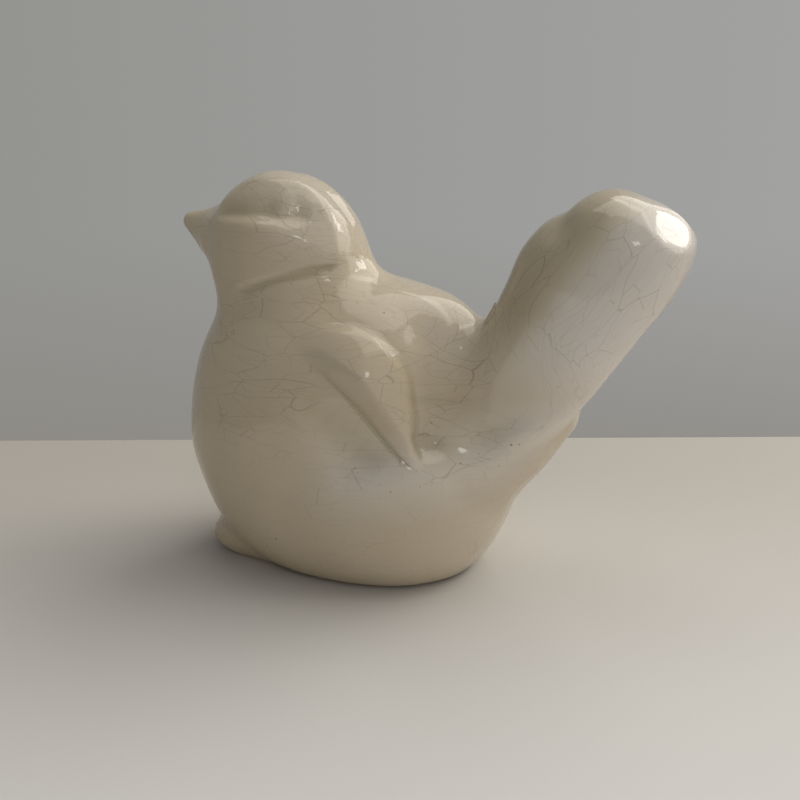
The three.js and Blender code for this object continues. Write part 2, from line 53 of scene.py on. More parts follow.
Array = np.ndarray
Form = Callable[[Array], Array]
Mesh = bpy.types.Mesh
Material = bpy.types.Material
Tree = bpy.types.NodeTree
Socket = bpy.types.NodeSocket

MILLIMETRE = 0.001
MIDDLE_Y = 12.299  # mm from the body's drawing origin to the middle of the bird's length
UP = np.array([0.0, 0.0, 1.0])
DETAIL = 1.0
HANDS = ThreadPoolExecutor(4)  # threads that share the work
FEW_POINTS = 4000  # not worth sharing out
RUNS = 8  # of points, where they are shared out
LEAST_STRIDE = 0.8  # mm, of a ray that looks for the surface
STRIDE_SHARE = 0.6  # of the distance that is left
SLACK_INSIDE = 8.0  # mm that the surface may lie within its guide
SLACK_OUTSIDE = 5.0  # mm that it may stand out from it
NARROWINGS = 8  # of a ray's last stride
NORMAL_STEP = 0.05  # mm each way
LINE_STEPS = 4  # between two rows of a relief line
CUT_ANGLE = 30.0  # degrees between a face and the form, past which it is a cut
FOOT_PLACE = (8.4, -22.4, 5.0)  # mm across and along from the belly's middle, then up


# Form


def point(y: float, z: float, x: float = 0.0) -> Array:
    """A place in millimetres, on the bird's middle plane unless x is given."""
    return np.array([x, y, z], float)


def unit(vector: Array) -> Array:
    """The vector over its length."""
    return vector / np.linalg.norm(vector, axis=-1, keepdims=True)


def mix(a: Array, b: Array, share: Array) -> Array:
    """a plus the given share of the way to b."""
    return a + (b - a) * share


def ease(low: float, high: float, value: Array) -> Array:
    """Rises from 0 to 1 between low and high as 3t squared less 2t cubed."""
    t = np.clip((value - low) / (high - low), 0.0, 1.0)
    return t * t * (3.0 - 2.0 * t)


def on_left(p: Array) -> Array:
    """The points, with those on the bird's right mirrored to its left."""
    return np.stack([np.abs(p[..., 0]), p[..., 1], p[..., 2]], -1)


def blend(a: Array, b: Array, size: float | Array) -> Array:
    """Joins two distances with a fillet.

    Args:
        a: First distance.
        b: Second distance.
        size: How far apart the distances may be for the fillet to reach them.

    Returns:
        The lesser distance, less size times t times (1 - t), where t runs from 0 to 1
        while a less b runs from size to minus size.
    """
    t = np.clip(0.5 + 0.5 * (b - a) / size, 0.0, 1.0)
    return mix(b, a, t) - size * t * (1.0 - t)


def ellipsoid(p: Array, middle: Array, half: Sequence[float], pitch: float = 0.0) -> Array:
    """Distance to an ellipsoid.

    Args:
        p: Points, one a row.
        middle: Its middle.
        half: Its half sizes across, along and up.
        pitch: How far its length is tipped up at the back, in radians.

    Returns:
        k(k - 1)/g, with k the length of the point over the half sizes and g the length
        of the point over their squares.
    """
    q = p - middle
    y = cos(pitch) * q[..., 1] + sin(pitch) * q[..., 2]
    z = cos(pitch) * q[..., 2] - sin(pitch) * q[..., 1]
    q = np.stack([q[..., 0], y, z], -1) / np.asarray(half, float)
    near = np.linalg.norm(q, axis=-1)
    slope = np.linalg.norm(q / np.asarray(half, float), axis=-1)
    return near * (near - 1.0) / np.maximum(slope, 1e-9)


def round_cone(p: Array, low: Array, high: Array, low_radius: float, high_radius: float) -> Array:
    """Distance to the hull of two balls.

    Args:
        p: Points, one a row.
        low: Middle of the first ball.
        high: Middle of the second.
        low_radius: Radius of the first.
        high_radius: Radius of the second.

    Returns:
        The distance to the ball beyond either end, and between them the distance from
        the axis, leant by the cone's slope.
    """
    axis = high - low
    squared = axis @ axis
    rise = low_radius - high_radius
    slant = squared - rise * rise
    q = p - low
    y = q @ axis
    z = y - squared
    across = q * squared - y[..., None] * axis
    x2 = (across * across).sum(-1)
    y2 = y * y * squared
    z2 = z * z * squared
    edge = np.sign(rise) * rise * rise * x2
    past_high = np.sqrt(x2 + z2) / squared - high_radius
    past_low = np.sqrt(x2 + y2) / squared - low_radius
    between = (np.sqrt(x2 * slant / squared) + y * rise) / squared - low_radius
    inner = np.where(np.sign(y) * slant * y2 < edge, past_low, between)
    return np.where(np.sign(z) * slant * z2 > edge, past_high, inner)


def curve_through(rows: Array, steps: int, closed: bool = False) -> Array:
    """Fills in between rows with a Catmull-Rom curve.

    Args:
        rows: Places, one a row, with any further values behind them.
        steps: Steps between two rows.
        closed: Whether the last row joins the first.

    Returns:
        Half the sum of 2b, (c - a)t, (2a - 5b + 4c - d)t squared and (3b - a - 3c + d)t
        cubed, for each four rows a to d that follow each other.
    """
    if closed:
        padded = np.vstack([rows[-1:], rows, rows[:2]])
    else:
        padded = np.vstack([2 * rows[0] - rows[1], rows, 2 * rows[-1] - rows[-2]])
    a, b, c, d = (padded[i : len(padded) - 3 + i, None, :] for i in range(4))
    t = (np.arange(steps) / steps)[None, :, None]
    curve = 2 * b + (c - a) * t + (2 * a - 5 * b + 4 * c - d) * t**2 + (3 * b - a - 3 * c + d) * t**3
    curve = 0.5 * curve.reshape(-1, rows.shape[1])
    return curve if closed else np.vstack([curve, rows[-1:]])


def shared(form: Form) -> Form:
    """Shares a form's points out to the threads.

    Args:
        form: The form.

    Returns:
        The same form, which works out many points as several runs at once.
    """

    def run(p: Array) -> Array:
        """The form's distances, in the order of the points."""
        if len(p) < FEW_POINTS:
            return form(p)
        return np.concatenate(list(HANDS.map(form, np.array_split(p, RUNS))))

    return run


def cast(form: Form, core: Array, directions: Array, guide: Form | None = None) -> Array:
    """First places where rays from inside the clay come out of it.

    Args:
        form: Distance to the surface, below zero inside.
        core: Where the rays start.
        directions: One unit vector a row.
        guide: A plainer form near the first, quicker to work out.

    Returns:
        One place a row. Each ray strides outwards through the guide by a share of the
        distance that is left. The stride in which it came out, made longer by the
        guide's slack, is then narrowed down by false position on the form itself,
        where an end that stays put twice has its distance halved.
    """
    form, guide = shared(form), shared(guide or form)
    inside = np.zeros(len(directions))
    outside = np.full(len(directions), LEAST_STRIDE)
    active = np.arange(len(directions))
    while len(active):
        value = guide(core + directions[active] * outside[active, None])
        active, value = active[value < 0], value[value < 0]
        inside[active] = outside[active]
        outside[active] += np.maximum(LEAST_STRIDE, -STRIDE_SHARE * value)
    inside = np.maximum(inside - SLACK_INSIDE, 0.0)
    outside = outside + SLACK_OUTSIDE
    low = form(core + directions * inside[:, None])
    high = form(core + directions * outside[:, None])
    for _ in range(NARROWINGS):
        between = (inside * high - outside * low) / (high - low)
        value = form(core + directions * between[:, None])
        within = value < 0
        high = np.where(within, high / 2, value)
        low = np.where(within, value, low / 2)
        inside = np.where(within, between, inside)
        outside = np.where(within, outside, between)
    between = (inside * high - outside * low) / (high - low)
    return core + directions * between[:, None]


def facing(form: Form, p: Array) -> Array:
    """Which way a form's surface faces.

    Args:
        form: Distance to the surface.
        p: Points on it, one a row.

    Returns:
        One unit vector a row, along the differences of the form over a small step
        each way across, along and up.
    """
    steps = np.eye(3) * NORMAL_STEP
    form = shared(form)
    return unit(np.stack([form(p + step) - form(p - step) for step in steps], -1))


@dataclass(frozen=True)
class ReliefLine:
    """A groove or a ridge that follows a smooth line over the clay."""

    places: Array
    widest: float

    @classmethod
    def seated(cls, rows: Sequence[Sequence[float]], form: Form, core: Array, box: Array) -> "ReliefLine":
        """Seats a line on the smooth form.

        Args:
            rows: Shares of the section's half sizes, then height and width in mm.
            form: The smooth form.
            core: Where the seating rays start.
            box: The section's middle, then its three half sizes as vectors, one a row.

        Returns:
            The line, a curve through the rows' seats.
        """
        table = np.array(rows, float)
        targets = box[0] + table[:, :3] @ box[1:]
        path = curve_through(cast(form, core, unit(targets - core)), LINE_STEPS)
        at = np.arange(len(path)) / LINE_STEPS
        values = [np.interp(at, np.arange(len(table)), table[:, i]) for i in (3, 4)]
        return cls(np.column_stack([path, *values]), float(table[:, 4].max()))

    def height(self, p: Array) -> Array:
        """How far the line lifts the clay.

        Args:
            p: Points on the bird's left, one a row.

        Returns:
            The line's own height at its nearest place, times e to minus
            (distance / width) squared, and nothing far off, where that is too small
            to count.
        """
        middle = self.places[:, :3].mean(0)
        reach = np.linalg.norm(self.places[:, :3] - middle, axis=1).max() + 3 * self.widest
        near = np.flatnonzero(np.linalg.norm(p - middle, axis=-1) < reach)
        height = np.zeros(len(p))
        if not len(near):
            return height
        q = p[near]
        least = np.full(len(near), np.inf)
        tall = np.zeros(len(near))
        wide = np.ones(len(near))
        for a, b in zip(self.places[:-1], self.places[1:]):
            run = b[:3] - a[:3]
            share = np.clip((q - a[:3]) @ run / (run @ run), 0.0, 1.0)
            gap = q - a[:3] - share[:, None] * run
            squared = (gap * gap).sum(-1)
            closer = squared < least
            least = np.where(closer, squared, least)
            tall = np.where(closer, mix(a[3], b[3], share), tall)
            wide = np.where(closer, mix(a[4], b[4], share), wide)
        height[near] = tall * np.exp(-least / wide**2)
        return height


@dataclass(frozen=True)
class BirdForm:
    """The clay's form as one distance, from the same sizes as the cast sections. The
    rump and the covert's start are placed behind and above the belly's middle, and the
    neck's ends from the body's and the head's. Other pairs are values at two ends."""

    belly: Array = field(default_factory=lambda: point(-6.7, 14.4))
    belly_half: tuple[float, float, float] = (26.5, 33.4, 21.2)
    belly_fillet: float = 12.0
    body: Array = field(default_factory=lambda: point(-10.2, 40.2))
    body_half: tuple[float, float, float] = (31.0, 40.9, 30.1)
    body_pitch: float = 0.512
    rump_low: tuple[float, float] = (14.3, 8.2)
    rump_high: tuple[float, float] = (23.5, 41.8)
    rump_radii: tuple[float, float] = (28.5, 10.8)
    rump_fillet: float = 8.0
    head: Array = field(default_factory=lambda: point(-24.7, 78.5))
    head_half: tuple[float, float, float] = (17.0, 18.4, 19.3)
    head_pitch: float = -0.09
    head_fillet: float = 7.0
    neck_low: tuple[float, float] = (-9.5, 6.4)
    neck_high: tuple[float, float] = (6.4, -8.1)
    neck_radii: tuple[float, float] = (26.3, 18.0)
    neck_narrowing: float = 1.14
    neck_fillet: float = 6.0
    beak_root: Array = field(default_factory=lambda: point(-41.5, 82.0))
    beak_lift: float = 0.33
    beak_length: float = 7.9
    beak_radii: tuple[float, float] = (6.4, 2.5)
    beak_fillet: float = 4.0
    tail_root: Array = field(default_factory=lambda: point(30.3, 37.0))
    tail_angle: float = 0.954
    tail_length: float = 66.1
    tail_width: tuple[float, float] = (14.5, 17.5)
    tail_depth: tuple[float, float] = (14.1, 18.4)
    tail_cap: float = 26.1
    tail_skew: float = 0.366
    tail_squareness: float = 2.6
    tail_overlap: float = 6.0
    tail_fillet: float = 7.0
    covert_start: tuple[float, float] = (16.5, 6.2)
    covert_past_tail: float = 17.2
    covert_end_z: float = 41.4
    covert_radii: tuple[float, float] = (14.8, 4.1)
    covert_lip: float = 14.0
    covert_fillets: tuple[float, float] = (10.0, 2.5)

    @property
    def tail_axis(self) -> Array:
        """Unit vector up the tail."""
        return point(cos(self.tail_angle), sin(self.tail_angle))

    @property
    def tail_up(self) -> Array:
        """Unit vector through the tail, towards its upper side."""
        return point(-sin(self.tail_angle), cos(self.tail_angle))

    @property
    def tail_core(self) -> Array:
        """Halfway up the tail."""
        return self.tail_root + self.tail_axis * self.tail_length / 2

    @property
    def beak_axis(self) -> Array:
        """Unit vector out of the beak."""
        return point(-cos(self.beak_lift), sin(self.beak_lift))

    @property
    def body_core(self) -> Array:
        """A place low in the rump, from where all of the body shows."""
        return self.body + point(self.body_half[1] / 2, -self.body_half[2] / 2)

    def tail(self, p: Array) -> Array:
        """Distance to the tail.

        Args:
            p: Points, one a row.

        Returns:
            The length of (across / width, through / depth, past the cap / cap), in the
            norm whose power is the squareness, less one, times the lesser half size,
            and ended a little way inside the rump.
        """
        q = p - self.tail_root
        t = q @ self.tail_axis
        share = ease(0.0, self.tail_length, t)
        width = mix(self.tail_width[0], self.tail_width[1], share)
        depth = mix(self.tail_depth[0], self.tail_depth[1], share)
        through = q @ self.tail_up - (depth - self.tail_depth[0])
        start = self.tail_length - self.tail_cap
        past = np.maximum(0.0, (t - start + self.tail_skew * through) / self.tail_cap)
        power = self.tail_squareness
        total = np.abs(q[..., 0] / width) ** power + np.abs(through / depth) ** power + past**power
        side = (total ** (1 / power) - 1) * np.minimum(width, depth)
        return -blend(-side, t + self.tail_overlap, self.tail_fillet)

    def trunk(self, p: Array) -> Array:
        """Distance to body, rump, tail and covert.

        Args:
            p: Points, one a row.

        Returns:
            Their distances, joined by fillets. The covert's fillet sharpens towards
            its end, where it stands off the rump as a lip.
        """
        belly = ellipsoid(p, self.belly, self.belly_half)
        trunk = blend(ellipsoid(p, self.body, self.body_half, self.body_pitch), belly, self.belly_fillet)
        low, high = self.belly + point(*self.rump_low), self.belly + point(*self.rump_high)
        trunk = blend(trunk, round_cone(p, low, high, *self.rump_radii), self.rump_fillet)
        trunk = blend(trunk, self.tail(p), self.tail_fillet)
        end = point(self.tail_root[1] + self.covert_past_tail, self.covert_end_z)
        covert = round_cone(p, self.belly + point(*self.covert_start), end, *self.covert_radii)
        lip = ease(self.covert_end_z - self.covert_lip, self.covert_end_z, p[..., 2])
        return blend(trunk, covert, mix(*self.covert_fillets, lip))

    def plain(self, p: Array) -> Array:
        """Distance to the smooth clay, without wings, feet or relief.

        Args:
            p: Points, one a row.

        Returns:
            The distances to trunk, neck, skull and beak, joined by fillets.
        """
        slim = p * np.array([self.neck_narrowing, 1.0, 1.0])
        low, high = self.body + point(*self.neck_low), self.head + point(*self.neck_high)
        neck = round_cone(slim, low, high, *self.neck_radii)
        skull = ellipsoid(p, self.head, self.head_half, self.head_pitch)
        beak_tip = self.beak_root + self.beak_axis * self.beak_length
        beak = round_cone(p, self.beak_root, beak_tip, *self.beak_radii)
        top = blend(blend(skull, neck, self.neck_fillet), beak, self.beak_fillet)
        return blend(self.trunk(p), top, self.head_fillet)


class Section(Enum):
    """The sections of clay that carry relief."""

    BODY = "body"
    HEAD = "head"
    TAIL = "tail"


RELIEF: dict[Section, tuple[tuple[tuple[float, ...], ...], ...]] = {
    Section.BODY: (
        # the hollow behind each wing
        (
            (0.47, 0.15, 1.14, 0.0, 3.0),
            (0.45, 0.4, 1.01, 0.0, 3.5),
            (0.45, 0.59, 0.84, -0.3, 4.5),
            (0.5, 0.74, 0.62, -1.7, 5.8),
            (0.65, 0.81, 0.33, -4.2, 6.0),
            (0.73, 0.8, 0.06, -3.2, 4.5),
        ),
        # the dip below each wing
        (
            (0.92, 0.1, 0.29, -0.4, 5.0),
            (0.94, 0.25, 0.13, -1.6, 5.0),
            (0.9, 0.42, -0.09, -1.4, 5.0),
            (0.84, 0.54, -0.24, -0.4, 4.0),
        ),
        # the flank's ridge, from the wing tip to the covert
        (
            (0.87, 0.35, -0.34, 0.0, 4.0),
            (0.85, 0.54, -0.32, 1.1, 4.0),
            (0.73, 0.8, -0.29, 1.7, 4.6),
            (0.53, 1.06, -0.21, 1.8, 4.2),
            (0.44, 1.25, -0.01, 1.5, 3.4),
            (0.34, 1.44, 0.18, 0.6, 2.6),
        ),
    ),
    Section.HEAD: (
        # the crease round the neck
        (
            (1.32, -0.34, -0.62, 0.0, 1.6),
            (1.24, 0.04, -0.44, -0.6, 1.2),
            (1.14, 0.43, -0.27, -1.0, 0.95),
            (0.91, 0.78, -0.16, -1.1, 0.9),
            (0.72, 0.96, -0.12, -0.8, 0.9),
            (0.58, 1.06, -0.08, 0.0, 1.0),
        ),
        # eye socket
        (
            (0.62, -0.59, 0.49, -0.6, 2.2),
            (0.76, -0.23, 0.54, -1.9, 2.6),
            (0.8, 0.15, 0.59, -2.3, 3.0),
            (0.74, 0.53, 0.59, -1.8, 2.8),
            (0.65, 0.77, 0.52, -0.3, 2.2),
        ),
        # eye
        ((0.72, 0.36, 0.59, 1.3, 2.3), (0.71, 0.43, 0.59, 1.3, 2.3)),
        # brow
        (
            (0.56, -0.34, 0.78, 0.1, 2.4),
            (0.43, -0.13, 0.85, 0.7, 2.6),
            (0.34, 0.42, 0.84, 0.9, 2.6),
            (0.33, 0.72, 0.64, 0.7, 2.2),
            (0.4, 0.88, 0.36, 0.5, 1.5),
            (0.52, 0.94, 0.04, 0.5, 1.3),
        ),
        # the head's broad edge behind the cheek
        (
            (0.34, 0.42, 0.84, 0.0, 5.0),
            (0.33, 0.72, 0.64, 0.9, 6.0),
            (0.4, 0.88, 0.36, 1.3, 6.5),
            (0.52, 0.94, 0.04, 1.1, 6.0),
            (0.55, 1.0, -0.2, 0.4, 5.0),
        ),
        # the flare from the face into the beak
        (
            (0.3, -0.93, 0.42, 0.2, 2.4),
            (0.42, -0.92, 0.3, 0.8, 2.8),
            (0.46, -0.91, 0.12, 0.9, 2.8),
            (0.42, -0.92, -0.05, 0.3, 2.4),
        ),
        # cheek
        (
            (0.21, -0.99, 0.37, 0.1, 1.8),
            (0.62, -0.56, 0.39, 0.5, 2.6),
            (0.85, -0.13, 0.38, 0.6, 3.0),
            (0.91, 0.26, 0.33, 0.5, 3.2),
            (0.84, 0.62, 0.22, 0.4, 3.0),
            (0.66, 0.92, 0.08, 0.2, 2.8),
        ),
    ),
    Section.TAIL: (
        # notch in the end
        ((0.0, 0.82, 0.98, -1.0, 3.6), (0.74, 0.81, 0.95, -1.0, 3.6)),
        # rim of the end
        ((0.0, 0.97, 0.61, 0.8, 6.0), (0.69, 0.95, 0.58, 0.8, 6.0)),
        # upper edge
        ((0.0, 0.64, 1.16, 0.6, 6.0), (0.69, 0.64, 1.16, 0.6, 6.0)),
    ),
}


@dataclass
class Clay:
    """The form with its relief, as it shows under the glaze."""

    form: BirdForm
    facet_place: tuple[float, float, float] = (11.2, 70.8, 87.6)
    facet_slope: tuple[float, float, float] = (0.423, 0.643, 0.639)
    facet_depth: float = 1.5
    facet_radius: float = 140.0
    facet_reach: float = 14.0
    facet_blend: float = 0.7
    ripple_height: float = 0.07
    ripples: tuple[tuple[float, float, float, float], ...] = (
        (0.0, 0.31, 0.22, 0.9),
        (0.27, 0.0, -0.19, 0.4),
        (0.0, 0.21, -0.33, 2.1),
        (0.3, 0.24, 0.0, 1.3),
    )

    def __post_init__(self) -> None:
        """Seats every relief line on the form."""
        form = self.form
        tail_half = [
            point(0, 0, form.tail_width[1]),
            form.tail_axis * form.tail_length,
            form.tail_up * form.tail_depth[1],
        ]
        frames = {
            Section.BODY: (form.body_core, np.vstack([form.body, np.diag(form.body_half)])),
            Section.HEAD: (form.head, np.vstack([form.head, np.diag(form.head_half)])),
            Section.TAIL: (form.tail_core, np.vstack([form.tail_root, *tail_half])),
        }
        self.lines = {
            section: [ReliefLine.seated(rows, form.plain, *frames[section]) for rows in tables]
            for section, tables in RELIEF.items()
        }

    def ripple(self, p: Array) -> Array:
        """Unevenness left by hand finishing.

        Args:
            p: Points, one a row.

        Returns:
            Two pairs of crossed waves, 16 to 19 mm long, none of it above the form. Each
            wave is the sine of its turns across, along and up, plus its start.
        """
        x, y, z = np.abs(p[..., 0]), p[..., 1], p[..., 2]
        a, b, c, d = (np.sin(u * x + v * y + w * z + start) for u, v, w, start in self.ripples)
        return self.ripple_height * (a * b + c * d) - 2 * self.ripple_height

    def skin(self, p: Array) -> Array:
        """Distance to the glazed surface. Left and right are alike.

        Args:
            p: Points, one a row.

        Returns:
            The form's distance less relief and ripple, cut back on each side of the
            tail's end to a facet. The facet is a bowl, whose rise is the square of the
            distance beside its place over twice its radius, up to its reach.
        """
        mirrored = on_left(p)
        relief = sum(line.height(mirrored) for lines in self.lines.values() for line in lines)
        shaped = self.form.plain(p) - relief - self.ripple(p)
        from_facet = mirrored - np.array(self.facet_place)
        ahead = from_facet @ unit(np.array(self.facet_slope))
        beside = np.minimum((from_facet * from_facet).sum(-1) - ahead * ahead, self.facet_reach**2)
        facet = ahead + self.facet_depth + beside / (2.0 * self.facet_radius)
        return -blend(-shaped, -facet, self.facet_blend)


def near_line(p: Array, line: ReliefLine) -> Array:
    """How far points are from a relief line, the same on both sides.

    Args:
        p: Points, one a row.
        line: The line.

    Returns:
        The distance in mm from each point to the nearest of the line's places.
    """
    mirrored = on_left(p)
    least = np.full(len(p), np.inf)
    for place in line.places[:, :3]:
        least = np.minimum(least, np.linalg.norm(mirrored - place, axis=1))
    return least


# Meshes


def ball_directions(axis: Array, rows: int, columns: int) -> Array:
    """Directions all round, as a grid.

    Args:
        axis: Where the first row points.
        rows: Steps from there to the opposite pole.
        columns: Steps round the axis.

    Returns:
        cos(a) axis + sin(a) (cos(b) side + sin(b) front), with a from 0 to pi down the
        rows and b from 0 to two pi along the columns. Poles are left out.
    """
    side = np.array([1.0, 0.0, 0.0])
    front = np.cross(axis, side)
    a = (pi * np.arange(1, rows) / rows)[:, None, None]
    b = (2 * pi * np.arange(columns) / columns)[None, :, None]
    grid = np.cos(a) * axis + np.sin(a) * (np.cos(b) * side + np.sin(b) * front)
    return grid.reshape(-1, 3)


def ball_faces(rows: int, columns: int) -> tuple[list[list[int]], list[list[int]]]:
    """Faces that close a grid of rings with a pole at each end.

    Args:
        rows: Steps from pole to pole, so there is one ring fewer.
        columns: Points in a ring.

    Returns:
        The quads between the rings, and the triangles at the poles. The poles are the
        last two vertices, and faces wind outwards for directions as above.
    """
    ring = np.arange(columns)
    after = (ring + 1) % columns
    start = (np.arange(rows - 2) * columns)[:, None]
    quads = np.stack([start + ring, start + columns + ring, start + columns + after, start + after], -1)
    first, last = (rows - 1) * columns, (rows - 1) * columns + 1
    end = (rows - 2) * columns
    top = np.stack([np.full(columns, first), ring, after], -1)
    bottom = np.stack([np.full(columns, last), end + after, end + ring], -1)
    return quads.reshape(-1, 4).tolist(), np.vstack([top, bottom]).tolist()


def to_metres(p: Array) -> Array:
    """Drawing millimetres to the part's metres, with the bird's middle at the origin."""
    return (p - point(MIDDLE_Y, 0.0)) * MILLIMETRE


def to_drawing(p: Array) -> Array:
    """The part's metres back to drawing millimetres."""
    return np.asarray(p, float) / MILLIMETRE + point(MIDDLE_Y, 0.0)


def read(items: bpy.types.bpy_prop_collection, key: str, width: int = 1, kind: type = np.float32) -> Array:
    """Reads one property of a mesh's parts.

    Args:
        items: The parts, such as the mesh's vertices.
        key: The property.
        width: How many numbers it has.
        kind: What Blender keeps them as.

    Returns:
        The numbers, one part a row.
    """
    values = np.zeros(len(items) * width, kind)
    items.foreach_get(key, values)
    return values.reshape(-1, width)


def mesh_from(name: str, vertices: Array, faces: Sequence[Sequence[int]]) -> Mesh:
    """Puts a surface into a mesh.

    Args:
        name: The mesh's name.
        vertices: Places in drawing millimetres.
        faces: Corners of each face, wound outwards.

    Returns:
        The mesh, in metres.
    """
    mesh = bpy.data.meshes.new(name)
    mesh.from_pydata(to_metres(vertices).tolist(), [], faces)
    return mesh


def flipped(faces: Sequence[Sequence[int]]) -> list[list[int]]:
    """The same faces, wound the other way."""
    return [list(reversed(face)) for face in faces]


@dataclass(frozen=True)
class Cut:
    """A plane that ends a section. What lies ahead of it is taken off."""

    place: Array
    normal: Array

    def reversed(self) -> "Cut":
        """The same plane, keeping the other side."""
        return Cut(self.place, -self.normal)


def cut_mesh(mesh: Mesh, cuts: Sequence[Cut]) -> None:
    """Takes off what lies ahead of each plane and closes the mesh there.

    Args:
        mesh: The mesh, changed in place.
        cuts: The planes, in drawing millimetres.
    """
    work = bmesh.new()
    work.from_mesh(mesh)
    for cut in cuts:
        bmesh.ops.bisect_plane(
            work,
            geom=work.verts[:] + work.edges[:] + work.faces[:],
            dist=1e-8,
            plane_co=Vector(to_metres(cut.place)),
            plane_no=Vector(cut.normal),
            clear_outer=True,
        )
        rim = [edge for edge in work.edges if edge.is_boundary]
        bmesh.ops.holes_fill(work, edges=rim, sides=0)
    work.to_mesh(mesh)
    work.free()


def smooth_normals(mesh: Mesh, form: Form) -> None:
    """Shades a mesh by the form itself, so that a seam between two pieces leaves no line.

    Args:
        mesh: The mesh, changed in place.
        form: The form whose surface it lies on. A face that leans too far from it is
            a cut, and keeps its own flat normal.
    """
    corners = read(mesh.loops, "vertex_index", kind=np.int32)[:, 0]
    sizes = read(mesh.polygons, "loop_total", kind=np.int32)[:, 0]
    flat = np.repeat(read(mesh.polygons, "normal", 3), sizes, axis=0)
    curved = facing(form, to_drawing(read(mesh.vertices, "co", 3)))[corners]
    on_form = (flat * curved).sum(-1, keepdims=True) > cos(radians(CUT_ANGLE))
    mesh.shade_smooth()
    mesh.normals_split_custom_set(np.where(on_form, curved, flat).tolist())


def add_object(name: str, data: bpy.types.ID) -> bpy.types.Object:
    """Adds a scene object.

    Args:
        name: Its name.
        data: Its mesh, camera or light.

    Returns:
        The object, at the origin.
    """
    item = bpy.data.objects.new(name, data)
    bpy.context.scene.collection.objects.link(item)
    return item


def add_piece(mesh: Mesh, nodes: Sequence[str]) -> bpy.types.Object:
    """Adds a finished mesh to the bird in place of its plain solids.

    Args:
        mesh: The mesh.
        nodes: The solids that it stands for.

    Returns:
        The new object.
    """
    piece = add_object(mesh.name, mesh)
    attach(piece, "root")
    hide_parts(*nodes)
    log.info("%s: %d faces", piece.name, len(mesh.polygons))
    return piece


# Finishes


def linear(code: str) -> tuple[float, float, float, float]:
    """A colour in linear light.

    Args:
        code: The colour as sRGB hex.

    Returns:
        Red, green, blue and one. Each v is v / 12.92 up to 0.04045, and above it
        (v + 0.055) / 1.055 to the power 2.4.
    """
    parts = np.array([int(code[i : i + 2], 16) for i in (1, 3, 5)]) / 255
    curved = np.where(parts <= 0.04045, parts / 12.92, ((parts + 0.055) / 1.055) ** 2.4)
    return (*curved.tolist(), 1.0)


def add_node(
    tree: Tree,
    kind: str,
    settings: dict[str | int, object] | None = None,
    links: dict[str | int, Socket] | None = None,
    output: str | int = 0,
) -> Socket:
    """Adds a shader node.

    Args:
        tree: The material's or the world's tree.
        kind: The node's class, without the ShaderNode that each of them starts with.
        settings: Values by attribute, or by the name or number of an input.
        links: Output sockets by the name or number of the input that they feed.
        output: The name or number of the output that is wanted.

    Returns:
        That output.
    """
    node = tree.nodes.new("ShaderNode" + kind)
    for key, value in (settings or {}).items():
        if isinstance(key, str) and hasattr(node, key):
            setattr(node, key, value)
        else:
            node.inputs[key].default_value = value
    for key, socket in (links or {}).items():
        tree.links.new(socket, node.inputs[key])
    return node.outputs[output]


def new_material(name: str, roughness: float) -> tuple[Material, bpy.types.Node]:
    """Starts a finish.

    Args:
        name: The material's name.
        roughness: How matt it is.

    Returns:
        The material and its principled shader.
    """
    material = bpy.data.materials.new(name)
    material.use_nodes = True
    shader = material.node_tree.nodes["Principled BSDF"]
    shader.inputs["Roughness"].default_value = roughness
    return material, shader


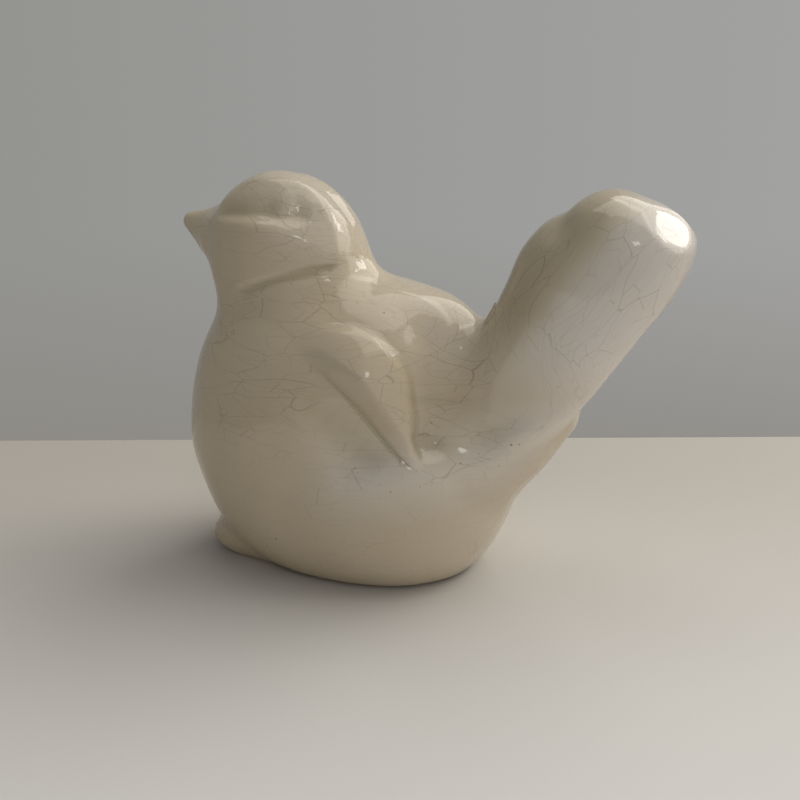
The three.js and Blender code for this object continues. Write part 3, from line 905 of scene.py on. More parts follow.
@dataclass(frozen=True)
class CrackleGlaze:
    """Clear lead-free glaze over cream earthenware, dipped and fired, and crazed as it
    cooled. It gives the eye a wet gloss that wavers a little, a warm body colour that
    turns whiter where the glaze is thin, which is also painted light that brightens the tail,
    and greener and darker where it pools, which is also painted shade in hollows and on the
    tail's upper side, hair lines under the surface, and pits with iron specks along the joints."""

    name: str = "crackle_glaze_on_earthenware"
    body: str = "#D3C3A6"
    # whiter thin glaze, brightened past its own colour as painted light, mostly on the tail
    milky_and_painted_light: str = "#E8E0D7"
    # pooled glaze, darkened past its own colour as painted shade in hollows and on the tail's upper side
    pooled_and_painted_shade: str = "#AA9F7E"
    hair: str = "#83735A"
    speck: str = "#5E4F3B"
    ior: float = 1.5
    roughness: float = 0.07
    cloud_mm: float = 26.0
    clouding: float = 0.12
    bend_mm: float = 16.0
    bend_reach_mm: float = 4.0
    fading_mm: float = 17.0
    faintest: float = 0.4
    craze_mm: float = 5.0
    fine_craze_mm: float = 2.4
    pit_mm: float = 2.2
    pit_depth_mm: float = 0.06
    peel_mm: float = 6.0
    peel_depth_mm: float = 0.16
    peel_strength: float = 0.7

    def clouds(self, tree: Tree, place: Socket) -> Socket:
        """Lays the body colour, whiter where the glaze is thin and greener and darker where it pools.
        The whitening is partly painted light and the darkening partly painted shade.

        Args:
            tree: The material's tree.
            place: The piece's own coordinates.

        Returns:
            The colour. Over the body colour lies each other colour, by the piece's
            attribute times a share that runs between two ends with clouds of noise.
        """
        lumps = add_node(tree, "TexNoise", {"Scale": 1000 / self.cloud_mm, "Detail": 3.0}, {"Vector": place})
        cloud = add_node(tree, "MapRange", {"From Min": 0.3, "From Max": 0.7}, {"Value": lumps})
        share = add_node(tree, "MapRange", {"To Max": self.clouding}, {"Value": cloud})
        ends = {"data_type": "RGBA", 6: linear(self.body), 7: linear(self.milky_and_painted_light)}
        shade = add_node(tree, "Mix", ends, {0: share}, 2)
        # the whitening layer is partly painted light, and the pooling layer partly painted shade
        for name, colour, start, end in (("milky_and_painted_light", self.milky_and_painted_light, 0.7, 1.0), ("pool_and_painted_shade", self.pooled_and_painted_shade, 0.6, 0.35)):
            amount = add_node(tree, "Attribute", {"attribute_name": name}, output="Fac")
            clouded = add_node(tree, "MapRange", {"To Min": start, "To Max": end}, {"Value": cloud})
            share = add_node(tree, "Math", {"operation": "MULTIPLY"}, {0: amount, 1: clouded})
            shade = add_node(tree, "Mix", {"data_type": "RGBA", 7: linear(colour)}, {0: share, 6: shade}, 2)
        return shade

    def net(self, tree: Tree, place: Socket, shade: Socket) -> Socket:
        """Draws the craze net, a coarse one with a finer one between.

        A real hair line is about 0.05 mm wide, too fine to show, so it is drawn twice
        as wide.

        Args:
            tree: The material's tree.
            place: The piece's own coordinates.
            shade: The colour under the net.

        Returns:
            The colour with the edges of Voronoi cells drawn on it. The cells lie on the
            piece's craze coordinates, bent by noise. A line's depth falls to nothing
            over its width, as a share of the cell, and other noise fades it in and out.
        """
        patches = {"Scale": 1000 / self.bend_mm, "Detail": 1.0}
        wander = add_node(tree, "TexNoise", patches, {"Vector": place}, "Color")
        straight = add_node(tree, "Attribute", {"attribute_name": "craze"}, output="Vector")
        bend = {"operation": "MULTIPLY_ADD", 1: (self.bend_reach_mm * MILLIMETRE,) * 3}
        bent = add_node(tree, "VectorMath", bend, {0: wander, 2: straight})
        patches = {"Scale": 1000 / self.fading_mm, "Detail": 1.0}
        fading = add_node(tree, "TexNoise", patches, {"Vector": place})
        crazed = add_node(tree, "Attribute", {"attribute_name": "crazed"}, output="Fac")
        hair = {"data_type": "RGBA", 7: linear(self.hair)}
        for size, width, depth, low, high in (
            (self.craze_mm, 0.012, 0.46, 0.3, 0.5),
            (self.fine_craze_mm, 0.02, 0.36, 0.4, 0.56),
        ):
            cells = {"feature": "DISTANCE_TO_EDGE", "Scale": 1000 / size}
            edge = add_node(tree, "TexVoronoi", cells, {"Vector": bent})
            fall = {"From Max": width, "To Min": depth, "To Max": 0.0}
            line = add_node(tree, "MapRange", fall, {"Value": edge})
            rise = {"From Min": low, "From Max": high, "To Min": self.faintest}
            faded = add_node(tree, "MapRange", rise, {"Value": fading})
            for weight in (faded, crazed):
                line = add_node(tree, "Math", {"operation": "MULTIPLY"}, {0: line, 1: weight})
            shade = add_node(tree, "Mix", hair, {0: line, 6: shade}, 2)
        return shade

    def pits(self, tree: Tree, place: Socket) -> Socket:
        """Pricks the glaze along the joints.

        Args:
            tree: The material's tree.
            place: The piece's own coordinates.

        Returns:
            One in a pit. Pits are the middles of small Voronoi cells, two cells in
            five, where the piece's pitted attribute is high.
        """
        pit = add_node(tree, "TexVoronoi", {"Scale": 1000 / self.pit_mm}, {"Vector": place})
        chance = add_node(tree, "SeparateColor", links={"Color": pit.node.outputs["Color"]})
        rare = add_node(tree, "MapRange", {"From Min": 0.6, "From Max": 0.62}, {"Value": chance})
        pitted = add_node(tree, "Attribute", {"attribute_name": "pitted"}, output="Fac")
        rim = {"From Min": 0.06, "From Max": 0.15, "To Min": 1.0, "To Max": 0.0}
        pit = add_node(tree, "MapRange", rim, {"Value": pit})
        for weight in (rare, pitted):
            pit = add_node(tree, "Math", {"operation": "MULTIPLY"}, {0: pit, 1: weight})
        return pit

    def build(self) -> Material:
        """Makes the material.

        Returns:
            A principled surface. Clouds, net and specks give its colour, in that order,
            and the gloss wavers like an orange's peel and dents at the pits.
        """
        material, shader = new_material(self.name, self.roughness)
        tree = material.node_tree
        shader.inputs["IOR"].default_value = self.ior
        place = add_node(tree, "TexCoord", output="Object")
        shade = self.net(tree, place, self.clouds(tree, place))
        pit = self.pits(tree, place)
        shade = add_node(tree, "Mix", {"data_type": "RGBA", 7: linear(self.speck)}, {0: pit, 6: shade}, 2)
        tree.links.new(shade, shader.inputs["Base Color"])
        peel = add_node(tree, "TexNoise", {"Scale": 1000 / self.peel_mm, "Detail": 2.0}, {"Vector": place})
        waver = {"Strength": self.peel_strength, "Distance": self.peel_depth_mm * MILLIMETRE}
        normal = add_node(tree, "Bump", waver, {"Height": peel})
        dent = {"Strength": 1.0, "Distance": self.pit_depth_mm * MILLIMETRE, "invert": True}
        normal = add_node(tree, "Bump", dent, {"Height": pit, "Normal": normal})
        tree.links.new(normal, shader.inputs["Normal"])
        return material


@dataclass(frozen=True)
class BareEarthenware:
    """Wiped clay that met the kiln shelf: matt, chalky and a little rough to the eye."""

    name: str = "bare_earthenware"
    body: str = "#D3C6B0"
    soiled: str = "#A8977C"
    roughness: float = 0.9
    mottle_mm: float = 4.0
    grain_mm: float = 0.4
    grain_depth_mm: float = 0.1
    grain_strength: float = 0.3

    def build(self) -> Material:
        """Makes the material.

        Returns:
            A matt surface, mottled and grained by noise of two sizes.
        """
        material, shader = new_material(self.name, self.roughness)
        tree = material.node_tree
        place = add_node(tree, "TexCoord", output="Object")
        patches = {"Scale": 1000 / self.mottle_mm, "Detail": 4.0}
        mottle = add_node(tree, "TexNoise", patches, {"Vector": place})
        ends = {"data_type": "RGBA", 6: linear(self.body), 7: linear(self.soiled)}
        tree.links.new(add_node(tree, "Mix", ends, {0: mottle}, 2), shader.inputs["Base Color"])
        grain = add_node(tree, "TexNoise", {"Scale": 1000 / self.grain_mm, "Detail": 2.0}, {"Vector": place})
        rough = {"Strength": self.grain_strength, "Distance": self.grain_depth_mm * MILLIMETRE}
        tree.links.new(add_node(tree, "Bump", rough, {"Height": grain}), shader.inputs["Normal"])
        return material


@dataclass(frozen=True)
class TablePaint:
    """White emulsion on the studio's table: even and without gloss, with painted shade that
    greys it towards the back, where less of the room's light falls."""

    name: str = "white_table_paint_and_painted_shade"
    front: str = "#FFFFFF"
    # painted shade: the back is greyed where less of the room's light falls
    back: str = "#CBC6BE"
    roughness: float = 0.6
    sheen_level: float = 0.25

    def build(self, start: Array, end: Array) -> Material:
        """Makes the material.

        Args:
            start: Where the painted shade is deepest, in drawing millimetres.
            end: Where it is palest.

        Returns:
            A matt surface whose colour runs from the painted shade at the back to the
            front with the share of the way from start to end.
        """
        material, shader = new_material(self.name, self.roughness)
        tree = material.node_tree
        shader.inputs["Specular IOR Level"].default_value = self.sheen_level
        run = to_metres(end) - to_metres(start)
        place = add_node(tree, "TexCoord", output="Object")
        from_start = add_node(tree, "VectorMath", {"operation": "SUBTRACT", 1: to_metres(start)}, {0: place})
        along = {"operation": "DOT_PRODUCT", 1: run / (run @ run)}
        share = add_node(tree, "VectorMath", along, {0: from_start}, "Value")
        share = add_node(tree, "MapRange", {"interpolation_type": "SMOOTHSTEP"}, {"Value": share})
        ends = {"data_type": "RGBA", 6: linear(self.back), 7: linear(self.front)}
        tree.links.new(add_node(tree, "Mix", ends, {0: share}, 2), shader.inputs["Base Color"])
        return material


# The bird's sections


@dataclass(frozen=True)
class FiringAndPaintedLight:
    """What the firing did to the glaze, and where light and shade are painted into it. A pair
    is the two ends of the run in which an effect comes or goes, the other sizes are in mm or
    shares of the full effect, and a line is a row of the body's relief."""

    probe: float = 2.0
    # pooling in a hollow: pooled glaze, with painted shade there
    pool_and_shade_level: tuple[float, float] = (-0.3, 0.05)
    # the tail's upper side takes the pooled colour as painted shade and loses most of the whitening
    tail_top: tuple[float, float] = (1.0, 12.0)
    tail_top_rise: tuple[float, float] = (10.0, 34.0)
    # whitening up the tail, partly painted light
    tail_rise: tuple[float, float] = (6.0, 34.0)
    tail_top_clears: float = 0.8
    rear_share: float = 0.2
    rear_back: tuple[float, float] = (-5.0, 30.0)
    rear_height: tuple[float, float] = (22.0, 45.0)
    hollow_line: int = 0
    ridge_line: int = 2
    ridge_share: float = 0.75
    ridge_width: float = 9.0
    tail_joint: float = 27.0
    tail_joint_gap: float = 2.0
    joint_width: float = 3.0
    speckled: tuple[float, float, float] = (25.8, -17.6, 11.9)
    speckled_width: float = 5.0
    least_crazed: float = 0.3
    milky_crazed: float = 0.7
    facing_up: tuple[float, float] = (-0.3, 0.3)
    net_turn: tuple[float, float] = (8.0, 34.0)
    net_squeeze: tuple[float, float, float] = (0.5, 0.24, 1.0)

    def marks(self, clay: Clay, surface: Form, p: Array) -> dict[str, Array]:
        """Works out where the glaze did what.

        Args:
            clay: The clay under the glaze.
            surface: Distance to the piece's surface.
            p: Points on it, one a row.

        Returns:
            Five attributes. The pooling mark is high in a hollow, where the surface's mean distance
            a little way around is below zero, and on the tail's upper side. It stands for pooled
            glaze and also paints shade there. The whitening mark rises up the rest of the tail, at
            the rear and towards the flank's ridge. It stands for thin glaze and also paints light
            there. pitted is high by a joint and above the foot. crazed is high on top and where the
            glaze whitens. craze is the place in metres, squeezed most along the bird and turned
            with the tail, so that the cells of the craze net lie lengthways.
        """
        steps = np.vstack([np.eye(3), -np.eye(3)]) * self.probe
        beside = [shared(surface)(p + step) for step in steps]
        around = sum(beside) / len(steps)
        upward = (beside[2] - beside[5]) / (2 * self.probe)
        flat = p - clay.form.tail_root
        up_tail, through = flat @ clay.form.tail_axis, flat @ clay.form.tail_up
        turned = np.stack([p[:, 0], up_tail, through], -1)
        lines = clay.lines[Section.BODY]
        hollow, ridge = near_line(p, lines[self.hollow_line]), near_line(p, lines[self.ridge_line])
        # painted shade on the tail's upper side
        top = ease(*self.tail_top, through) * ease(*self.tail_top_rise, up_tail)
        rear = self.rear_share * ease(*self.rear_back, p[:, 1]) * (1.0 - ease(*self.rear_height, p[:, 2]))
        # whitening up the tail, partly painted light, kept off the shaded upper side
        tail = ease(*self.tail_rise, up_tail) * (1.0 - self.tail_top_clears * top)
        flank = self.ridge_share * np.exp(-((ridge / self.ridge_width) ** 2))
        milky_and_painted_light = np.maximum(np.maximum(tail, rear), flank)
        across_tail = np.abs(up_tail - self.tail_joint) + self.tail_joint_gap
        joint = np.minimum(np.minimum(ridge, hollow), across_tail) / self.joint_width
        specks = np.linalg.norm(p - np.array(self.speckled), axis=1) / self.speckled_width
        crazed = np.maximum(ease(*self.facing_up, upward), self.milky_crazed * milky_and_painted_light)
        net = mix(flat, turned, ease(*self.net_turn, up_tail)[:, None]) * np.array(self.net_squeeze)
        return {
            # pooled glaze in hollows, with painted shade there and on the tail's upper side
            "pool_and_painted_shade": np.maximum(1.0 - ease(*self.pool_and_shade_level, around), top),
            "milky_and_painted_light": milky_and_painted_light,
            "pitted": np.maximum(np.exp(-(joint**2)), np.exp(-(specks**2))),
            "crazed": np.maximum(self.least_crazed, crazed),
            "craze": net * MILLIMETRE,
        }


@dataclass
class Skin:
    """One glazed section, formed by rays from a place inside it."""

    clay: Clay
    glaze: Material
    name: str
    nodes: tuple[str, ...]
    core: Array
    axis: Array
    rows: int
    columns: int
    cuts: tuple[Cut, ...] = ()

    def surface(self, p: Array) -> Array:
        """Distance to this section's surface."""
        return self.clay.skin(p)

    def guide(self, p: Array) -> Array:
        """Distance to a plainer surface close by."""
        return self.clay.form.plain(p)

    def build(self) -> Mesh:
        """Makes the closed mesh.

        Returns:
            The mesh: a ball's grid of directions, each carried out to the surface, and
            cut off flat at each seam.
        """
        rows, columns = int(self.rows * DETAIL), int(self.columns * DETAIL)
        directions = np.vstack([ball_directions(self.axis, rows, columns), self.axis, -self.axis])
        vertices = cast(self.surface, self.core, directions, self.guide)
        quads, triangles = ball_faces(rows, columns)
        mesh = mesh_from(self.name, vertices, quads + triangles)
        cut_mesh(mesh, self.cuts)
        return mesh

    def mark_glaze_and_painted_light(self, mesh: Mesh) -> None:
        """Writes what the firing did to the glaze, and the painted light and shade, at each vertex.

        Args:
            mesh: The mesh, which gets an attribute for each of the firing's marks.
        """
        p = to_drawing(read(mesh.vertices, "co", 3))
        for name, values in FiringAndPaintedLight().marks(self.clay, self.surface, p).items():
            kind, key = ("FLOAT", "value") if values.ndim == 1 else ("FLOAT_VECTOR", "vector")
            attribute = mesh.attributes.new(name, kind, "POINT")
            attribute.data.foreach_set(key, values.astype(np.float32).ravel())

    def dress(self, mesh: Mesh) -> bpy.types.Object:
        """Glazes the mesh and adds it to the bird.

        Args:
            mesh: The mesh.

        Returns:
            The piece.
        """
        mesh.materials.append(self.glaze)
        self.mark_glaze_and_painted_light(mesh)
        smooth_normals(mesh, self.surface)
        return add_piece(mesh, self.nodes)


@dataclass
class BodyShell(Skin):
    """The body, with its bare floor and the vent hole in it."""

    bare: Material | None = None
    vent_radius: float = 3.0
    vent_depth: float = 9.0
    vent_sides: int = 64
    vent_slack: float = 0.05
    ring_height: float = 1.0
    ring_slack: float = 0.01

    def drill(self, mesh: Mesh) -> Mesh:
        """Takes the vent hole out of the floor.

        Args:
            mesh: The closed body.

        Returns:
            A mesh of the body less a round plug, which starts 1 mm below the table.
        """
        sides = self.vent_sides
        turn = 2 * pi * np.arange(sides) / sides
        ring = np.stack([np.cos(turn), np.sin(turn), np.zeros(sides)], -1) * self.vent_radius
        middle = self.clay.form.belly * np.array([1, 1, 0])
        low, high = middle + ring - UP, middle + ring + UP * self.vent_depth
        around = [[i, (i + 1) % sides, sides + (i + 1) % sides, sides + i] for i in range(sides)]
        faces = [list(range(sides - 1, -1, -1)), list(range(sides, 2 * sides)), *around]
        plug = add_object("plug", mesh_from("plug", np.vstack([low, high]), faces))
        block = add_object("block", mesh)
        tool = block.modifiers.new("vent", "BOOLEAN")
        tool.operation = "DIFFERENCE"
        tool.object = plug
        tool.solver = "EXACT"
        drilled = bpy.data.meshes.new_from_object(block.evaluated_get(bpy.context.evaluated_depsgraph_get()))
        drilled.name = self.name
        for item in (plug, block):
            bpy.data.objects.remove(item)
        return drilled

    def build(self) -> Mesh:
        """Makes the closed mesh with its vent."""
        return self.drill(super().build())

    def dress(self, mesh: Mesh) -> bpy.types.Object:
        """Glazes the body and leaves its floor bare.

        Args:
            mesh: The mesh.

        Returns:
            The piece, whose faces on the floor's plane and in the vent are bare clay.
        """
        piece = super().dress(mesh)
        piece.data.materials.append(self.bare)
        centres = to_drawing(read(mesh.polygons, "center", 3))
        from_vent = np.linalg.norm(centres[:, :2] - self.clay.form.belly[:2], axis=1)
        floor = centres[:, 2] < self.ring_height + self.ring_slack
        near = from_vent < self.vent_radius + self.vent_slack
        low = centres[:, 2] < self.vent_depth + self.vent_slack
        mesh.polygons.foreach_set("material_index", (floor | near & low).astype(np.int32))
        return piece


@dataclass
class Foot(Skin):
    """One toe pad, melted into the breast by the glaze."""

    half: tuple[float, float, float] = (7.6, 12.6, 6.3)
    fillet: float = 3.0
    proud: float = 0.03

    def pad(self, p: Array) -> Array:
        """Distance to the pad on its own."""
        return ellipsoid(p, self.core, self.half)

    def surface(self, p: Array) -> Array:
        """Distance to pad and breast joined by a fillet, ended where the fillet ends."""
        joined = blend(self.clay.skin(p), self.pad(p), self.fillet) - self.proud
        return np.maximum(joined, self.pad(p) - self.fillet)

    def guide(self, p: Array) -> Array:
        """The surface itself, since the pad is small."""
        return self.surface(p)


@dataclass
class Wing(Skin):
    """One wing: a leaf whose edge stands up behind and melts into the shoulder. Its
    outline is in shares of the body's half sizes, back and up from the body's middle,
    and its first rows are the upper rim."""

    side: int = 1
    rise: float = 4.2
    front_rise: float = 0.05
    front_fade: tuple[float, float] = (-0.02, 0.52)
    upper_share: float = 0.05
    edge: float = 4.2
    upper_edge: float = 7.0
    upper_rows: int = 9
    rim_steps: int = 4
    run_out: float = 0.8
    plane: float = 0.7
    proud: float = 0.03
    sunk: float = 0.8
    middle: tuple[float, float] = (0.27, 0.57)
    outline: tuple[tuple[float, float], ...] = (
        (-0.41, 0.74),
        (-0.26, 0.87),
        (-0.02, 0.92),
        (0.22, 0.95),
        (0.45, 0.91),
        (0.62, 0.75),
        (0.73, 0.5),
        (0.77, 0.22),
        (0.74, -0.03),
        (0.67, -0.22),
        (0.57, -0.15),
        (0.42, 0.04),
        (0.25, 0.28),
        (0.05, 0.48),
        (-0.19, 0.61),
    )

    def __post_init__(self) -> None:
        """Draws the leaf's rim in millimetres, seen from the side."""
        half = np.array(self.clay.form.body_half[1:])
        self.rim = curve_through(np.array(self.outline) * half, self.rim_steps, closed=True)
        self.leaf_middle = np.array(self.middle) * half
        self.leaf_x = self.plane * self.clay.form.body_half[0]

    def inset(self, p: Array) -> tuple[Array, Array]:
        """Distances in from the leaf's upper and lower rims, below zero outside it.

        Args:
            p: Points, one a row.

        Returns:
            The distances from each point, carried from the body's middle onto the
            leaf's plane, to the nearest part of the upper and of the lower rim.
        """
        q = p - self.clay.form.body
        flat = q[:, 1:] * (self.leaf_x / np.maximum(np.abs(q[:, :1]), 1.0))
        least = [np.full(len(p), np.inf), np.full(len(p), np.inf)]
        within = np.zeros(len(p), bool)
        for i, (a, b) in enumerate(zip(self.rim, np.roll(self.rim, -1, axis=0))):
            run = b - a
            share = np.clip((flat - a) @ run / (run @ run), 0.0, 1.0)
            lower = int(i >= self.rim_steps * self.upper_rows)
            gap = np.linalg.norm(flat - a - share[:, None] * run, axis=1)
            least[lower] = np.minimum(least[lower], gap)
            level = (a[1] > flat[:, 1]) != (b[1] > flat[:, 1])
            crossing = run[0] * (flat[:, 1] - a[1]) / (run[1] + 1e-12) + a[0]
            within ^= level & (flat[:, 0] < crossing)
        sign = np.where(within, 1.0, -1.0)
        return least[0] * sign, least[1] * sign

    def surface(self, p: Array) -> Array:
        """Distance to the flank with the leaf on it.

        Args:
            p: Points, one a row.

        Returns:
            The flank's distance less the leaf's thickness. That grows from front to tip
            and from the upper rim to the lower one, and eases in over an edge at each
            rim.
        """
        form = self.clay.form
        upper, lower = self.inset(p)
        fade = ease(*self.front_fade, (p[:, 1] - form.body[1]) / form.body_half[1])
        across = np.abs(upper) / (np.abs(upper) + np.abs(lower) + 1e-6)
        lift = mix(self.upper_share, 1.0, across)
        roll = ease(-self.run_out, self.edge, lower) * ease(-self.run_out, self.upper_edge, upper)
        return self.clay.skin(p) - mix(self.front_rise, self.rise, fade) * lift * roll - self.proud

    def under(self, p: Array) -> Array:
        """Distance to a surface a little below the flank."""
        return self.clay.skin(p) + self.sunk

    def build(self) -> Mesh:
        """Makes the closed leaf.

        Returns:
            The mesh. Rays from the body's middle pass through a grid of places on the
            leaf's plane, at shares of the way from its middle to its rim, and end on
            the outer surface and again on the one below the flank.
        """
        rows, columns = int(self.rows * DETAIL), int(self.columns * DETAIL)
        turn = curve_through(self.rim, max(1, columns // len(self.rim)), closed=True)
        outward = np.roll(turn, -1, axis=0) - np.roll(turn, 1, axis=0)
        outward = unit(np.stack([-outward[:, 1], outward[:, 0]], -1))
        rim = turn + outward * self.run_out
        columns = len(rim)
        share = np.sin(0.5 * pi * np.arange(1, rows + 1) / rows)[:, None, None]
        flat = self.leaf_middle + share * (rim - self.leaf_middle)
        flat = np.vstack([flat.reshape(-1, 2), self.leaf_middle])
        directions = unit(np.column_stack([np.full(len(flat), self.leaf_x), flat]))
        outer = cast(self.surface, self.clay.form.body, directions, self.guide)
        inner = cast(self.under, self.clay.form.body, directions, self.guide)
        rings = rows * columns
        below = np.flip(inner[:rings].reshape(rows, columns, 3), 0).reshape(-1, 3)
        vertices = np.vstack([outer[:rings], below, outer[-1:], inner[-1:]])
        quads, triangles = ball_faces(2 * rows + 1, columns)
        faces = quads + triangles
        if self.side > 0:
            return mesh_from(self.name, vertices, flipped(faces))
        return mesh_from(self.name, vertices * np.array([-1.0, 1.0, 1.0]), faces)


# Studio


@dataclass(frozen=True)
class Panel:
    """A soft light that faces the bird, in daylight's colour unless it has another. Its
    heading is an azimuth and a height in degrees and a distance in mm, from the
    camera's target, and its size is in mm."""

    name: str
    heading: tuple[float, float, float]
    size: tuple[float, float]
    watts: float
    tint: str = "#FFFBF3"


@dataclass(frozen=True)
class Studio:
    """White table, grey wall far behind it, soft light from the right, and the camera."""

    target: Array = field(default_factory=lambda: point(6.911, 42.116))
    azimuth: float = 109.0
    elevation: float = 15.734
    distance: float = 275.0
    lens: float = 49.5
    # painted light on the wall: lighter to the right, towards the window, and painted shade near its foot
    wall_left: str = "#949491"
    wall_right: str = "#A2A2A1"
    wall_low_shade: str = "#8A8680"
    wall_half_width: float = 0.34
    wall_low_heights: tuple[float, float] = (-0.33, -0.12)
    wall_low_share: float = 0.8
    wall_side: tuple[float, float] = (-0.3, 0.2)
    fill: float = 0.11
    glow: float = 0.48
    glow_from: float = 0.4
    open_heading: tuple[float, float] = (138.0, 8.0)
    edge_left: Array = field(default_factory=lambda: point(-103.8, 0.0, -66.0))
    edge_right: Array = field(default_factory=lambda: point(141.8, 0.0, -155.0))
    table_left: float = 270.0
    table_right: float = 450.0
    table_depth: float = 355.0
    lights: tuple[Panel, ...] = (
        Panel("left_pane", (204.5, 41.0, 600.0), (56.0, 64.0), 0.07),
        Panel("right_pane", (221.0, 35.0, 600.0), (181.0, 137.0), 0.4),
        Panel("sunlit_wall", (226.0, 42.0, 1500.0), (1875.0, 1167.0), 11.2),
        Panel("ceiling", (230.0, 78.0, 1400.0), (1200.0, 1200.0), 5.6),
        Panel("small_window", (119.0, 40.0, 600.0), (80.0, 60.0), 0.07, "#FFFFFF"),
    )

    @staticmethod
    def heading(azimuth: float, elevation: float) -> Array:
        """Unit vector towards an azimuth, 0 ahead of the beak and 90 on the bird's left."""
        a, e = radians(azimuth), radians(elevation)
        return np.array([sin(a) * cos(e), -cos(a) * cos(e), sin(e)])

    def camera(self) -> None:
        """Places the camera and makes it the scene's."""
        data = bpy.data.cameras.new("camera")
        data.lens = self.lens
        data.sensor_width = 36.0
        data.clip_start = 0.01
        eye = add_object("camera", data)
        back = self.heading(self.azimuth, self.elevation)
        eye.location = to_metres(self.target + back * self.distance)
        eye.rotation_euler = Vector(-back).to_track_quat("-Z", "Y").to_euler()
        bpy.context.scene.camera = eye

    def hang(self, panel: Panel) -> None:
        """Hangs a light.

        Args:
            panel: The light.
        """
        data = bpy.data.lights.new(panel.name, "AREA")
        data.shape = "RECTANGLE"
        data.size, data.size_y = (side * MILLIMETRE for side in panel.size)
        data.energy = panel.watts
        data.color = linear(panel.tint)[:3]
        lamp = add_object(panel.name, data)
        place = self.target + self.heading(*panel.heading[:2]) * panel.heading[2]
        lamp.location = to_metres(place)
        lamp.rotation_euler = Vector(self.target - place).to_track_quat("-Z", "Y").to_euler()

    def table(self) -> None:
        """Lays the table top.

        Its back edge runs through two places and on by table_left and table_right from
        where it passes nearest to the body, and table_depth is how far it comes forward.
        """
        along = unit(self.edge_right - self.edge_left)
        forward = np.array([along[1], -along[0], 0.0]) * self.table_depth
        behind = self.edge_left - along * (self.edge_left @ along)
        ends = np.stack([behind - along * self.table_left, behind + along * self.table_right])
        mesh = mesh_from("table", np.vstack([ends[::-1], ends + forward]), [[0, 1, 2, 3]])
        mesh.materials.append(TablePaint().build(behind, behind + forward))
        add_object("table", mesh)

    def wall(self, tree: Tree, way: Socket) -> Socket:
        """Colours the far wall, with its light and shade painted in.

        Args:
            tree: The world's tree.
            way: The ray's direction.

        Returns:
            wall_left to wall_right by the direction's share of the way across, painted lighter
            towards the window's side, and wall_low_shade over them by its share of the way down, as
            painted shade near the wall's foot.
        """
        a = radians(180 - self.azimuth)
        right = {"operation": "DOT_PRODUCT", 1: (-cos(a), sin(a), 0.0)}
        across = add_node(tree, "VectorMath", right, {0: way}, "Value")
        ends = {"From Min": -self.wall_half_width, "From Max": self.wall_half_width}
        across = add_node(tree, "MapRange", ends, {"Value": across})
        colours = {"data_type": "RGBA", 6: linear(self.wall_left), 7: linear(self.wall_right)}
        shade = add_node(tree, "Mix", colours, {0: across}, 2)
        height = add_node(tree, "SeparateXYZ", links={"Vector": way}, output="Z")
        lowest, highest = self.wall_low_heights
        ends = {"From Min": lowest, "From Max": highest, "To Min": self.wall_low_share, "To Max": 0.0}
        low = add_node(tree, "MapRange", ends, {"Value": height})
        return add_node(tree, "Mix", {"data_type": "RGBA", 7: linear(self.wall_low_shade)}, {0: low, 6: shade}, 2)

    def showing(self, tree: Tree, way: Socket) -> Socket:
        """Tells where the far wall shows.

        Args:
            tree: The world's tree.
            way: The ray's direction.

        Returns:
            One for a ray from the camera or through glass. For a mirrored ray it is
            how far the ray heads for the wall's side of the room, and nought for any
            other.
        """
        a = radians(self.azimuth)
        behind = {"operation": "DOT_PRODUCT", 1: (-sin(a), cos(a), 0.0)}
        ahead = add_node(tree, "VectorMath", behind, {0: way}, "Value")
        ends = {"From Min": self.wall_side[0], "From Max": self.wall_side[1]}
        ahead = add_node(tree, "MapRange", ends, {"Value": ahead})
        glossy = add_node(tree, "LightPath", output="Is Glossy Ray")
        shows = add_node(tree, "Math", {"operation": "MULTIPLY"}, {0: glossy, 1: ahead})
        for kind in ("Is Camera Ray", "Is Transmission Ray"):
            ray = glossy.node.outputs[kind]
            shows = add_node(tree, "Math", {"operation": "MAXIMUM"}, {0: shows, 1: ray})
        return shows

    def room(self) -> None:
        """Paints the room into the world.

        The far wall shows as it is where showing says so. The rest of the room is
        mirrored, and lights the bird, as a dim fill that rises smoothly to a glow
        towards its open side.
        """
        world = bpy.data.worlds.new("room")
        bpy.context.scene.world = world
        world.use_nodes = True
        tree = world.node_tree
        way = add_node(tree, "TexCoord", output="Generated")
        wall, shows = self.wall(tree, way), self.showing(tree, way)
        open_side = {"operation": "DOT_PRODUCT", 1: tuple(self.heading(*self.open_heading))}
        opening = add_node(tree, "VectorMath", open_side, {0: way}, "Value")
        ends = {"From Min": self.glow_from, "From Max": 1.0, "To Min": self.fill, "To Max": self.glow}
        glow = add_node(tree, "MapRange", {"interpolation_type": "SMOOTHSTEP", **ends}, {"Value": opening})
        colour = add_node(tree, "Mix", {"data_type": "RGBA"}, {0: shows, 6: glow, 7: wall}, 2)
        sky = tree.nodes["Background"]
        tree.links.new(colour, sky.inputs["Color"])
        sky.inputs["Strength"].default_value = 1.0

    def build(self) -> None:
        """Sets up the camera, the table, the room and the lights."""
        self.camera()
        self.table()
        self.room()
        for panel in self.lights:
            self.hang(panel)
        bpy.context.scene.view_settings.view_transform = "Standard"


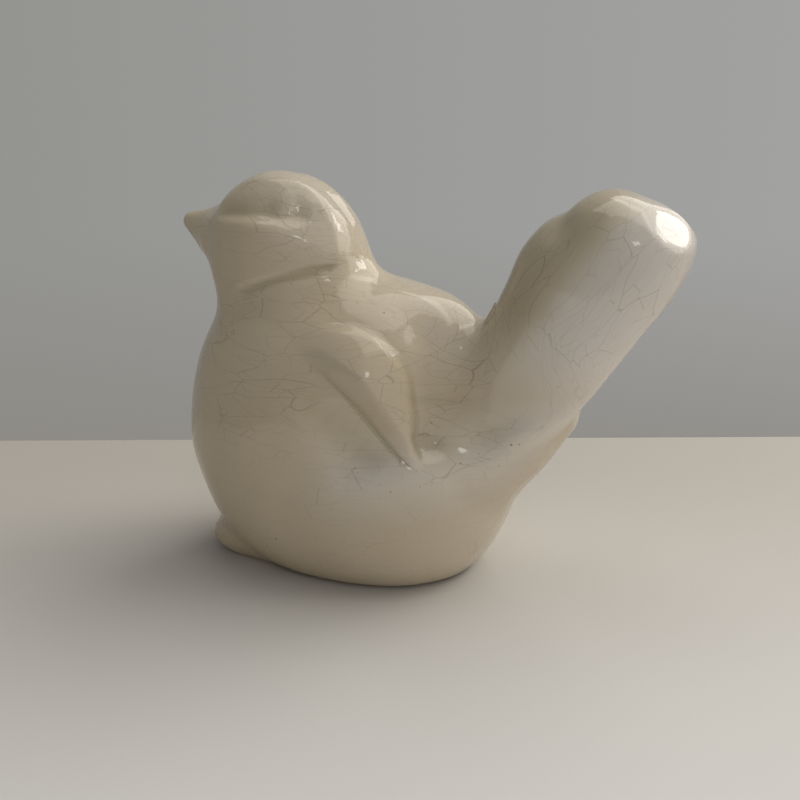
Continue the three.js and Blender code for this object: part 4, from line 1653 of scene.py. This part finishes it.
@dataclass(frozen=True)
class Seams:
    """Where the cast sections meet."""

    neck_slope: float = 0.29
    neck_drop: float = 8.1
    beak_ahead: float = 1.8
    tail_up: float = 27.0
    ring_height: float = 1.0

    def neck(self, form: BirdForm) -> Cut:
        """The plane through the neck, facing up."""
        return Cut(form.head - UP * self.neck_drop, unit(point(-self.neck_slope, 1.0)))

    def beak(self, form: BirdForm) -> Cut:
        """The plane at the beak's root, facing out of it."""
        return Cut(form.beak_root + form.beak_axis * self.beak_ahead, form.beak_axis)

    def tail(self, form: BirdForm) -> Cut:
        """The plane across the tail, facing up it."""
        return Cut(form.tail_root + form.tail_axis * self.tail_up, form.tail_axis)

    def floor(self) -> Cut:
        """The floor's plane, facing down."""
        return Cut(UP * self.ring_height, -UP)

    def table(self) -> Cut:
        """The table's plane, facing down."""
        return Cut(point(0.0, 0.0), -UP)


def main() -> None:
    """Builds the bird section by section, then the studio."""
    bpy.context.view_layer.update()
    form = BirdForm()
    clay = Clay(form)
    glaze = CrackleGlaze().build()
    bare = BareEarthenware().build()
    seams = Seams()
    neck, beak, tail = seams.neck(form), seams.beak(form), seams.tail(form)
    trunk_cuts = (neck, tail, seams.floor())
    sections: list[Skin] = [
        BodyShell(
            clay, glaze, "body_skin", ("body_shell",), form.body_core, UP, 240, 380, trunk_cuts, bare
        ),
        Skin(clay, glaze, "head_skin", ("head_shell",), form.head, UP, 180, 260, (neck.reversed(), beak)),
        Skin(
            clay, glaze, "beak_skin", ("beak",), form.beak_root, form.beak_axis, 90, 120, (beak.reversed(),)
        ),
        Skin(
            clay, glaze, "tail_skin", ("tail_shell",), form.tail_core, form.tail_axis, 200, 260,
            (tail.reversed(),),
        ),
    ]
    for side, hand in ((1, "left"), (-1, "right")):
        nodes = (f"wing_{hand}",)
        sections.append(Wing(clay, glaze, f"wing_{hand}_skin", nodes, form.body, UP, 48, 240, side=side))
        across, along, height = FOOT_PLACE
        pad = form.belly + np.array([across * side, along, height - form.belly[2]])
        nodes = (f"foot_{hand}",)
        sections.append(Foot(clay, glaze, f"foot_{hand}_skin", nodes, pad, UP, 70, 96, (seams.table(),)))
    for section in sections:
        section.dress(section.build())
    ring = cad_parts["foot_ring"]
    ring.data.materials.clear()
    ring.data.materials.append(bare)
    Studio().build()


if __name__ == "__main__":
    main()
